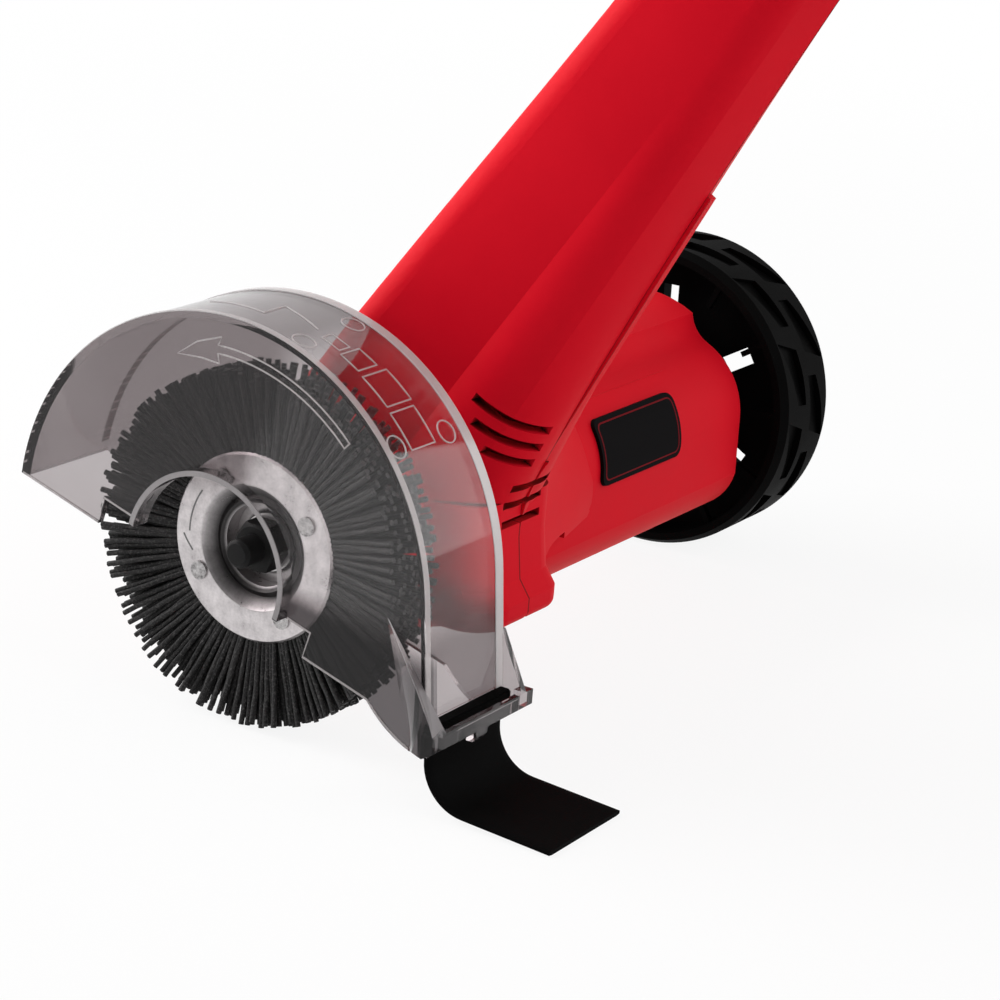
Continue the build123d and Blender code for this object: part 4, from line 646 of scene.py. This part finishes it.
# Head shells: two mouldings of satin red plastic that meet in a seam along the tube and close round
# the motor and the gears. Five screws go in from the wheel side.
red_plastic = surface(
    "red_plastic",
    tones=[(0.68, 0.0018, 0.0155), (0.75, 0.0044, 0.019)],
    gloss=(0.5, 0.62),
    grain=(2800, 0.035 * mm),
    drift=18.0,
    mirror=0.06,
)
seam_x = -50.0 * mm
seam_half = 0.22 * mm
tree = red_plastic.node_tree
shader = tree.nodes["Principled BSDF"]
shader.inputs["Specular Tint"].default_value = (1.0, 0.8, 0.45, 1)
shader.inputs["Sheen Weight"].default_value = 0.03
shader.inputs["Sheen Roughness"].default_value = 0.4
shader.inputs["Sheen Tint"].default_value = (0.9, 1.0, 0.5, 1)
plain_red = shader.inputs["Base Color"].links[0].from_socket
where = add_node(tree, "ShaderNodeTexCoord").outputs
across = add_node(tree, "ShaderNodeSeparateXYZ", {0: where["Object"]}).outputs[0]
# painted shadow: a thin dark line along the seam between the two shells
off_seam = calculate(tree, "ABSOLUTE", calculate(tree, "SUBTRACT", across, seam_x))
in_seam_shadow = calculate(tree, "LESS_THAN", off_seam, seam_half)
# walls that lie in the seam's own plane keep the plain red, without the painted seam shadow
wall_limit = 0.8
lie = add_node(tree, "ShaderNodeSeparateXYZ", {0: where["Normal"]}).outputs[0]
not_wall = calculate(tree, "LESS_THAN", calculate(tree, "ABSOLUTE", lie), wall_limit)
in_seam_shadow = calculate(tree, "MULTIPLY", in_seam_shadow, not_wall)
seam_shadow_tone, hollow_shade_tone = (0.10, 0.004, 0.004), (0.004, 0.0006, 0.0008)
seam_shadowed = mix_colours(tree, in_seam_shadow, plain_red, seam_shadow_tone)
# painted shade: ambient occlusion darkens the insides of the vents and screw wells
hollow_reach, hollow_sky, outer_sky = 10 * mm, 0.34, 0.58
open_sky = add_node(
    tree, "ShaderNodeAmbientOcclusion", {"Distance": hollow_reach}, only_local=True, samples=8
).outputs["AO"]
out_of_hollow_shade = graded(tree, open_sky, hollow_sky, outer_sky)
tree.links.new(mix_colours(tree, out_of_hollow_shade, hollow_shade_tone, seam_shadowed), shader.inputs["Base Color"])
dress(red_plastic, "shell_brush_side", "shell_wheel_side")
dress(zinc_plate, "shell_screws")

# one tree makes the crosses in the screws of the shells, the guard and the handle
cross_sizes = {"Cross length": 2.9 * mm, "Cross width": 0.75 * mm, "Cross depth": 0.2 * mm}
tree, size, output = node_tree("screw_crosses", cross_sizes)
bar_one = add_node(
    tree,
    "ShaderNodeCombineXYZ",
    {0: size["Cross depth"], 1: size["Cross length"], 2: size["Cross width"]},
).outputs[0]
bar_two = add_node(
    tree,
    "ShaderNodeCombineXYZ",
    {0: size["Cross depth"], 1: size["Cross width"], 2: size["Cross length"]},
).outputs[0]
joined = add_node(tree, "GeometryNodeJoinGeometry")
for bar in (bar_two, bar_one):
    tree.links.new(add_node(tree, "GeometryNodeMeshCube", {"Size": bar}).outputs[0], joined.inputs[0])
crosses = add_node(
    tree, "GeometryNodeInstanceOnPoints", {"Points": size["Geometry"], "Instance": joined.outputs[0]}
).outputs[0]
close_tree(tree, crosses, output, stamp_dark)
cross_tree = tree


def add_screw_crosses(name, head_x, places, body):
    """Cross in the head of each screw, from the heads' x and their (y, z) places."""
    mesh = grow_mesh(name, cross_tree, cross_sizes, [(head_x, *at) for at in places])
    add_piece(name, mesh, stamp_dark, body)


tube_lean = radians(30.7)
lean_sin, lean_cos = sin(tube_lean), cos(tube_lean)


def tube_place(s, p):
    """Y and Z of a point s up the leaning tube and p behind its line through the spindle, in mm."""
    return (s * lean_sin + p * lean_cos) * mm, (s * lean_cos - p * lean_sin) * mm


shell_head_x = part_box("shell_screws")[0].x
shell_screws_up_tube = [(95, -16.5), (95, 26.4), (160, 23.6), (225, 23.5)]
shell_screw_places = [tube_place(s, p) for s, p in shell_screws_up_tube]
shell_screw_places.append((45 * mm, -9 * mm))
add_screw_crosses("shell_screw_crosses", shell_head_x, shell_screw_places, "head")


# Badge plate: a bare black plate bonded on a raised pad of the barrel, curved as the barrel is, with
# a thin dark red line printed round it.
badge_black = surface(
    "badge_black",
    tones=[(0.004, 0.0036, 0.004), (0.007, 0.0064, 0.007)],
    gloss=(0.45, 0.6),
    grain=(2500, 0.02 * mm),
    mirror=0.01,
)
line_red = surface(
    "line_red",
    tones=[(0.14, 0.004, 0.008), (0.2, 0.006, 0.011)],
    gloss=(0.5, 0.6),
    grain=(2500, 0.02 * mm),
    mirror=0.03,
)
dress(badge_black, "badge_plate")
badge_low, badge_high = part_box("badge_plate")
belly_radius = 24.3 * mm
belly_y, belly_z = 14.0 * mm, 2.5 * mm
badge_skin = belly_radius + 1.6 * mm
badge_turn = radians(17.0)
badge_middle_x = (badge_low.x + badge_high.x) / 2


def on_badge(a, b, height):
    """Point on the badge, a along the barrel and b round it, at a height over its face."""
    turn = badge_turn + b / badge_skin
    reach = badge_skin + height
    return badge_middle_x + a, belly_y + reach * cos(turn), belly_z + reach * sin(turn)


outline_step = 1.5 * mm


def rounded_outline(length, height, corner, steps):
    """Closed outline of a rounded rectangle round (0, 0)."""
    points = []
    for quarter, (sx, sy) in enumerate([(1, 1), (-1, 1), (-1, -1), (1, -1)]):
        middle = Vector((sx * (length / 2 - corner), sy * (height / 2 - corner)))
        for i in range(steps + 1):
            turn = radians(90 * (quarter + i / steps))
            points.append(tuple(middle + corner * Vector((cos(turn), sin(turn)))))
    dense = []
    for i, point in enumerate(points):
        after = points[(i + 1) % len(points)]
        pieces = max(1, round((Vector(after) - Vector(point)).length / outline_step))
        dense += [tuple(Vector(point).lerp(Vector(after), k / pieces)) for k in range(pieces)]
    return dense


badge_line = rounded_outline(43.0 * mm, 17.2 * mm, 2.2 * mm, 5)
badge_border = strip_mesh("badge_border", [(badge_line, True)], 0.05 * mm, 0.5 * mm, on_badge)
add_piece("badge_border", badge_border, line_red, "head")


# Guard: one clear smoky moulding screwed to the nose of the head, with an arch in front of the hub.
# Its rim, arrow and shallow frames are moulded in as thin raised lines; the pale rim and edge strips are
# painted highlights.
smoky_clear = bpy.data.materials.new("smoky_clear")
smoky_clear.use_nodes = True
tree = smoky_clear.node_tree
shader = tree.nodes["Principled BSDF"]
shader.inputs["Transmission Weight"].default_value = 1.0
shader.inputs["IOR"].default_value = 1.31
place = add_node(tree, "ShaderNodeTexCoord").outputs["Object"]
streak = add_node(
    tree, "ShaderNodeTexNoise", {"Vector": place, "Scale": 26.0, "Detail": 2.0}
).outputs["Fac"]
apart = add_node(tree, "ShaderNodeSeparateXYZ", {0: place}).outputs
turn = calculate(tree, "ARCTAN2", apart[2], apart[1])
# the smoke is thin over the back of the band, a painted brightening of the lit red behind it,
# darker elsewhere, and darkest low on the front wall, a painted shade of what lies behind it;
# angles go up from the back of the tool
smoke_dark, smoke_thin_painted_light, smoke_low_painted_shade = (0.46, 0.425, 0.43), (0.985, 0.97, 0.972), (0.13, 0.118, 0.122)
low = graded(tree, turn, radians(-8), radians(4), curve="SMOOTHSTEP")
high = graded(tree, turn, radians(78), radians(63), curve="SMOOTHSTEP")
painted_light_share = calculate(tree, "MULTIPLY", low, high)
clouded = calculate(tree, "MULTIPLY", calculate(tree, "SUBTRACT", streak, 0.5), 0.3)
painted_light_share = calculate(tree, "ADD", painted_light_share, clouded)
smoke = mix_colours(tree, painted_light_share, smoke_dark, smoke_thin_painted_light)
# painted shade: the smoke goes dark low on the front wall
painted_shade_low_front = graded(tree, turn, radians(-5), radians(-11), curve="SMOOTHSTEP")
front_wall_x = 12 * mm
at_front = calculate(tree, "GREATER_THAN", apart[0], front_wall_x)
painted_shade_low_front = calculate(tree, "MULTIPLY", painted_shade_low_front, at_front)
smoke = mix_colours(tree, painted_shade_low_front, smoke, smoke_low_painted_shade)
tree.links.new(smoke, shader.inputs["Base Color"])
tree.links.new(graded(tree, streak, 0.0, 1.0, 0.02, 0.07), shader.inputs["Roughness"])
haze = add_node(tree, "ShaderNodeBsdfDiffuse", {"Color": (0.62, 0.6, 0.61, 1)}).outputs[0]
haze_share = 0.01
hazed = add_node(
    tree, "ShaderNodeMixShader", {0: haze_share, 1: shader.outputs[0], 2: haze}
).outputs[0]
let_light = add_node(tree, "ShaderNodeBsdfTransparent", {"Color": (0.97, 0.965, 0.965, 1)}).outputs[0]
lit = add_node(tree, "ShaderNodeLightPath").outputs["Is Shadow Ray"]
clear = add_node(tree, "ShaderNodeMixShader", {0: lit, 1: hazed, 2: let_light}).outputs[0]
tree.links.new(clear, tree.nodes["Material Output"].inputs["Surface"])
body_tint = add_node(
    tree, "ShaderNodeVolumeAbsorption", {"Color": (0.3, 0.23, 0.24, 1), "Density": 25.0}
)
tree.links.new(body_tint.outputs[0], tree.nodes["Material Output"].inputs["Volume"])
dress(smoky_clear, "guard")
dress(zinc_plate, "guard_screws")
guard_head_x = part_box("guard_screws")[1].x
guard_screw_circle = 32.2 * mm
guard_screw_places = polar_places([(guard_screw_circle, a) for a in (30, 90, 150)])
add_screw_crosses("guard_screw_crosses", guard_head_x, guard_screw_places, "head")

moulded_line = surface(
    "moulded_line",
    tones=[(0.62, 0.58, 0.58), (0.78, 0.74, 0.74)],
    gloss=(0.12, 0.25),
    grain=(1500, 0.02 * mm),
)


def let_through(material, alpha):
    """Make a finish see-through, alpha 1 being solid."""
    material.node_tree.nodes["Principled BSDF"].inputs["Alpha"].default_value = alpha


let_through(moulded_line, 0.45)
guard_radius = 67.3 * mm
guard_front = 17.5 * mm


def on_band(x, turn, height):
    """Point on the round band of the guard, x along the spindle and turn in radians."""
    return x, (guard_radius + height) * cos(turn), (guard_radius + height) * sin(turn)


degrees_apart = 2


def band_line(points):
    """Line on the band from (x in mm, angle in degrees) points, drawn in even steps."""
    dense = []
    for (x0, a0), (x1, a1) in zip(points, points[1:]):
        pieces = max(1, round(abs(a1 - a0) / degrees_apart))
        for k in range(pieces):
            share = k / pieces
            dense.append(((x0 + (x1 - x0) * share) * mm, radians(a0 + (a1 - a0) * share)))
    dense.append((points[-1][0] * mm, radians(points[-1][1])))
    return dense


def band_strip(name, lines, proud, width):
    """Raised strips on the band. The angle is scaled to a length while the strip is drawn."""
    flat = [([(x, a * guard_radius) for x, a in line], closed) for line, closed in lines]
    return strip_mesh(name, flat, proud, width, lambda x, b, h: on_band(x, b / guard_radius, h))


# frames on the band are two x in mm and two angles in degrees, rings are x and angle
band_frames = [
    (-4.2, 6.4, 57.6, 48.9),
    (-3.4, 7.0, 47.3, 38.0),
    (-2.4, 5.8, 65.0, 59.4),
    (0.0, 4.6, 71.5, 66.2),
]
band_rings = [(11.3, 72.0), (-9.8, 39.3), (12.1, 39.8), (-11.0, 72.6)]
band_ring_radius = 3.2
band_ring_points = 20
band_lines = []
for x0, x1, a0, a1 in band_frames:
    band_lines.append((band_line([(x0, a0), (x1, a0), (x1, a1), (x0, a1), (x0, a0)])[:-1], True))
for x, a in band_rings:
    circle = []
    for i in range(band_ring_points):
        turn = 2 * pi * i / band_ring_points
        around = a + band_ring_radius * sin(turn) / (guard_radius / mm) / radians(1)
        circle.append(((x + band_ring_radius * cos(turn)) * mm, radians(around)))
    band_lines.append((circle, True))
band_lines.append((band_line([(2.7, 104.0), (6.4, 86.4), (-2.9, 86.6), (1.8, 74.3)]), False))
band_marks = band_strip("guard_band_marks", band_lines, 0.25 * mm, 0.38 * mm)
add_piece("guard_band_marks", band_marks, moulded_line, "head")

# pale rim strips, raised lips painted as edge highlights, run along both edges of the band and down the
# skirt under its back
skirt_top, skirt_end = Vector((67.0, 6.45)) * mm, Vector((70.1, -26.8)) * mm
skirt_out = Vector((0.9957, 0.0928))


def on_skirt(x, down, height):
    """Point on the straight skirt below the band, down from where it starts."""
    place = skirt_top + (skirt_end - skirt_top).normalized() * down + skirt_out * height
    return x, place.x, place.y


# painted highlight: a near-white finish for the rear rim strip
rim_painted_highlight = surface(
    "rim_painted_highlight",
    tones=[(0.80, 0.76, 0.765), (0.90, 0.87, 0.87)],
    gloss=(0.1, 0.2),
    grain=(1500, 0.02 * mm),
)
let_through(rim_painted_highlight, 0.6)
skirt_length = (skirt_end - skirt_top).length
rim_height = 0.3 * mm
for name, x, width, finish in (
    ("guard_front_rim_highlight", 16.2, 2.0, moulded_line),
    ("guard_rear_rim_highlight", -17.0, 3.4, rim_painted_highlight),
):
    rim_line = band_line([(x, 5.5), (x, 170.0)])
    rim_mesh = band_strip(name, [(rim_line, False)], rim_height, width * mm)
    add_piece(name, rim_mesh, finish, "head")
    skirt_line = [(x * mm, 0.0), (x * mm, skirt_length)]
    skirt_mesh = strip_mesh(name + "_skirt", [(skirt_line, False)], rim_height, width * mm, on_skirt)
    add_piece(name + "_skirt", skirt_mesh, finish, "head")


def on_front(y, z, height):
    """Point on the front wall of the guard."""
    return guard_front + height, y, z


chord_turn = radians(15.8)


def along_chord(u, w):
    """Y and Z of a point u along the lower edge of the front wall and w above the spindle, in mm."""
    return (
        (u * cos(chord_turn) + w * sin(chord_turn)) * mm,
        (w * cos(chord_turn) - u * sin(chord_turn)) * mm,
    )


front_steps = [(-66.2, -8.7), (-38.35, -8.7), (-38.35, -1.25), (-26.4, -1.25)]
rear_steps = [(26.4, -1.25), (34.35, -1.25), (34.35, -8.7), (56.0, -8.7)]
rear_sweep = [(55.2, -27.2), (58.9, -29.9), (62.2, -31.9), (65.4, -33.4)]
# pale strips on the lower edges of the front wall, on both sides of the arch, painted as edge highlights
front_edge = [along_chord(u, w) for u, w in front_steps]
rear_edge = [along_chord(u, w) for u, w in rear_steps]
rear_edge += [(y * mm, z * mm) for y, z in rear_sweep]
edge_lines = [(front_edge, False), (rear_edge, False)]
edge_mesh = strip_mesh("guard_edge_highlights", edge_lines, 0.15 * mm, 0.6 * mm, on_front)
add_piece("guard_edge_highlights", edge_mesh, moulded_line, "head")
moulded_bead = surface(
    "moulded_bead",
    tones=[(0.30, 0.28, 0.285), (0.42, 0.395, 0.40)],
    gloss=(0.15, 0.3),
    grain=(1500, 0.02 * mm),
)
let_through(moulded_bead, 0.8)
lip_end = guard_front + 4.0 * mm
bead_sunk = 0.05 * mm


def on_lip(y, z, height):
    """Point on the end of the lip round the arch."""
    return lip_end - bead_sunk + height, y, z


arch_line = arc_points(25.25 * mm, -18.6, 166.8, 72)
arch_mesh = strip_mesh("guard_arch_bead", [(arch_line, False)], 0.3 * mm, 1.45 * mm, on_lip)
add_piece("guard_arch_bead", arch_mesh, moulded_bead, "head")

# pale sheet on the face of the corner that flares out beside the flap's bracket, a painted glint
flare_painted_glint = surface(
    "flare_painted_glint",
    tones=[(0.78, 0.75, 0.755), (0.88, 0.86, 0.86)],
    gloss=(0.1, 0.2),
    grain=(1500, 0.02 * mm),
)
let_through(flare_painted_glint, 0.85)
flare_wall = [Vector((17.5, 56.0, 0.5)) * mm, Vector((17.5, 76.3, -25.7)) * mm]
flare_edge = [Vector((23.4, 73.3, -18.4)) * mm, Vector((23.4, 76.3, -25.7)) * mm]
flare_off = Vector((0, 0.02, 0.02)) * mm
flare_start, flare_run = 0.02, 0.94
flare_steps, flare_columns = 8, 3
flare_build = bmesh.new()
flare_rows = []
for i in range(flare_steps + 1):
    share = flare_start + flare_run * i / flare_steps
    inner = flare_wall[0].lerp(flare_wall[1], share)
    outer = flare_edge[0].lerp(flare_edge[1], share)
    places = [inner.lerp(outer, k / flare_columns) + flare_off for k in range(flare_columns + 1)]
    flare_rows.append([flare_build.verts.new(at) for at in places])
for first, second in zip(flare_rows, flare_rows[1:]):
    for k in range(flare_columns):
        flare_build.faces.new((first[k], first[k + 1], second[k + 1], second[k]))
bmesh.ops.recalc_face_normals(flare_build, faces=flare_build.faces)
bmesh.ops.solidify(flare_build, geom=flare_build.faces[:], thickness=0.06 * mm)
flare_mesh = bpy.data.meshes.new("guard_flare_glint")
flare_build.to_mesh(flare_mesh)
flare_build.free()
add_piece("guard_flare_glint", flare_mesh, flare_painted_glint, "head")

# arrow on the front wall for the way the brush turns
arrow_inner, arrow_outer = 57.2 * mm, 59.4 * mm
arrow_head = [
    (61.8 * mm, 90.5),
    (59.6 * mm, 98.0),
    (56.4 * mm, 105.0),
    (55.4 * mm, 97.0),
    (54.6 * mm, 91.0),
]
arrow_tail, arrow_neck = 46.0, 91.5
front_arrow = arc_points(arrow_inner, arrow_tail, arrow_neck, 30)
front_arrow += polar_places(reversed(arrow_head))
front_arrow += arc_points(arrow_outer, arrow_neck, arrow_tail, 30)
arrow_mesh = strip_mesh("guard_arrow", [(front_arrow, True)], 0.25 * mm, 0.4 * mm, on_front)
add_piece("guard_arrow", arrow_mesh, moulded_line, "head")


# Splash flap: a strip of black rubber that hangs in the slot of the guard's bracket by a bead, bends
# back and drags on the ground behind the brush.
flap_rubber = surface(
    "flap_rubber",
    tones=[(0.0014, 0.0014, 0.0014), (0.003, 0.003, 0.003)],
    gloss=(0.6, 0.75),
    grain=(1800, 0.06 * mm),
    mirror=0.02,
)
flap_low, flap_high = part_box("splash_flap")
flap_thickness = 1.3 * mm
flap_bend = 12.6 * mm
flap_slope = radians(3.0)
flap_bead = 2.5 * mm
flap_y = flap_low.y + flap_thickness / 2
flap_tip = Vector((flap_high.y, flap_low.z + flap_thickness / 2))
bend_turn = pi / 2 - flap_slope
bend_end_y = flap_y + flap_bend * (1 - cos(bend_turn))
bend_end_z = flap_tip.y + (flap_tip.x - bend_end_y) * tan(flap_slope)
bend_start_z = bend_end_z + flap_bend * sin(bend_turn)
hang_top_z = flap_high.z - flap_bead / 2
hang_steps, bend_steps, drag_steps = 6, 12, 10
hang = bend_start_z - hang_top_z
flap_path = [(flap_y, hang_top_z + hang * i / hang_steps) for i in range(hang_steps + 1)]
for i in range(1, bend_steps + 1):
    turn = bend_turn * i / bend_steps
    flap_path.append((flap_y + flap_bend * (1 - cos(turn)), bend_start_z - flap_bend * sin(turn)))
for i in range(1, drag_steps + 1):
    flap_path.append(tuple(Vector((bend_end_y, bend_end_z)).lerp(flap_tip, i / drag_steps)))
flap_middle = (flap_low.x + flap_high.x) / 2
flap_half = (flap_high.x - flap_low.x) / 2
flap_columns = 24
edge_share, edge_thinned = 0.04, 0.35
flap_build = bmesh.new()
flap_rows = []
for i, (y, z) in enumerate(flap_path):
    before = Vector(flap_path[max(i - 1, 0)])
    after = Vector(flap_path[min(i + 1, len(flap_path) - 1)])
    run = (after - before).normalized()
    out = Vector((run.y, -run.x))
    faces = []
    for side in (1, -1):
        line = []
        for k in range(flap_columns + 1):
            across = -1 + 2 * k / flap_columns
            edge = max(0.0, abs(across) - (1 - edge_share)) / edge_share
            half = flap_thickness / 2 * (1 - edge_thinned * edge)
            point = Vector((y, z)) - out * side * half
            line.append(flap_build.verts.new((flap_middle + across * flap_half, point.x, point.y)))
        faces.append(line)
    flap_rows.append(faces)
for first, second in zip(flap_rows, flap_rows[1:]):
    for k in range(flap_columns):
        flap_build.faces.new((first[0][k], first[0][k + 1], second[0][k + 1], second[0][k]))
        flap_build.faces.new((first[1][k + 1], first[1][k], second[1][k], second[1][k + 1]))
    for k in (0, flap_columns):
        flap_build.faces.new((first[0][k], second[0][k], second[1][k], first[1][k]))
for faces in (flap_rows[0], flap_rows[-1]):
    for k in range(flap_columns):
        flap_build.faces.new((faces[0][k], faces[0][k + 1], faces[1][k + 1], faces[1][k]))
bead_depth = flap_thickness + flap_bead
bead = bmesh.ops.create_cube(flap_build, size=1.0)["verts"]
bmesh.ops.scale(flap_build, verts=bead, vec=(2 * flap_half, bead_depth, flap_bead))
bead_place = (flap_middle, flap_low.y + bead_depth / 2, flap_high.z - flap_bead / 2)
bmesh.ops.translate(flap_build, verts=bead, vec=bead_place)
bmesh.ops.bevel(
    flap_build,
    geom=list({edge for vertex in bead for edge in vertex.link_edges}),
    offset=0.5 * mm,
    segments=2,
    affect="EDGES",
)
flap_mesh = close_mesh("flap", flap_build)
for face in flap_mesh.polygons:
    face.use_smooth = True
flap_mesh.set_sharp_from_angle(angle=radians(35))
flap = add_piece("flap", flap_mesh, flap_rubber, "head")
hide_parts("splash_flap")


# Guide wheel: a dished black moulding with a treaded rim and narrow windows, turning on a fixed
# steel axle behind a snap cap.
wheel_black = surface(
    "wheel_black",
    tones=[(0.0015, 0.0015, 0.0016), (0.0035, 0.0034, 0.0033)],
    gloss=(0.45, 0.6),
    grain=(2400, 0.05 * mm),
    mirror=0.015,
)
dress(wheel_black, "wheel", "wheel_cap")
dress(ground_steel, "axle")


# Telescopic tube: an anodised aluminium stem that slides in a nylon bush in the neck of the shells,
# and a fluted collar that clamps it.
anodised = surface(
    "anodised",
    tones=[(0.36, 0.365, 0.37), (0.43, 0.435, 0.44)],
    gloss=(0.32, 0.38),
    grain=(2600, 0.006 * mm),
    metallic=1.0,
    drift=30.0,
)
natural_nylon = surface(
    "natural_nylon",
    tones=[(0.55, 0.53, 0.48), (0.64, 0.62, 0.57)],
    gloss=(0.45, 0.55),
    grain=(2200, 0.03 * mm),
)
dress(anodised, "stem")
dress(natural_nylon, "guide_bush")
dress(black_nylon, "lock_collar")


# Loop handle: a moulded loop for the front hand on a clamp round the stem. A bolt with a moulded
# knob holds its tilt.
dress(black_nylon, "aux_clamp", "aux_loop", "aux_knob")
dress(zinc_plate, "aux_bolt")


# Rear handle: two red mouldings round the stem's top with a rubber sleeve, a trigger that works the
# switch, a lock-off button and the bore where the mains lead goes in.
dress(red_plastic, "handle_shell_brush_side", "handle_shell_wheel_side")
dress(zinc_plate, "handle_screws")
handle_head_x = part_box("handle_screws")[0].x
handle_screws_up_tube = [(833.1, 5.28), (956.2, 26.99), (988.6, 44.89)]
handle_screw_places = [tube_place(s, p) for s, p in handle_screws_up_tube]
add_screw_crosses("handle_screw_crosses", handle_head_x, handle_screw_places, "stem")
dress(seal_rubber, "grip_sleeve", "cable_gland")
dress(black_nylon, "trigger", "lock_button", "power_switch")
dress(ground_steel, "trigger_pin")
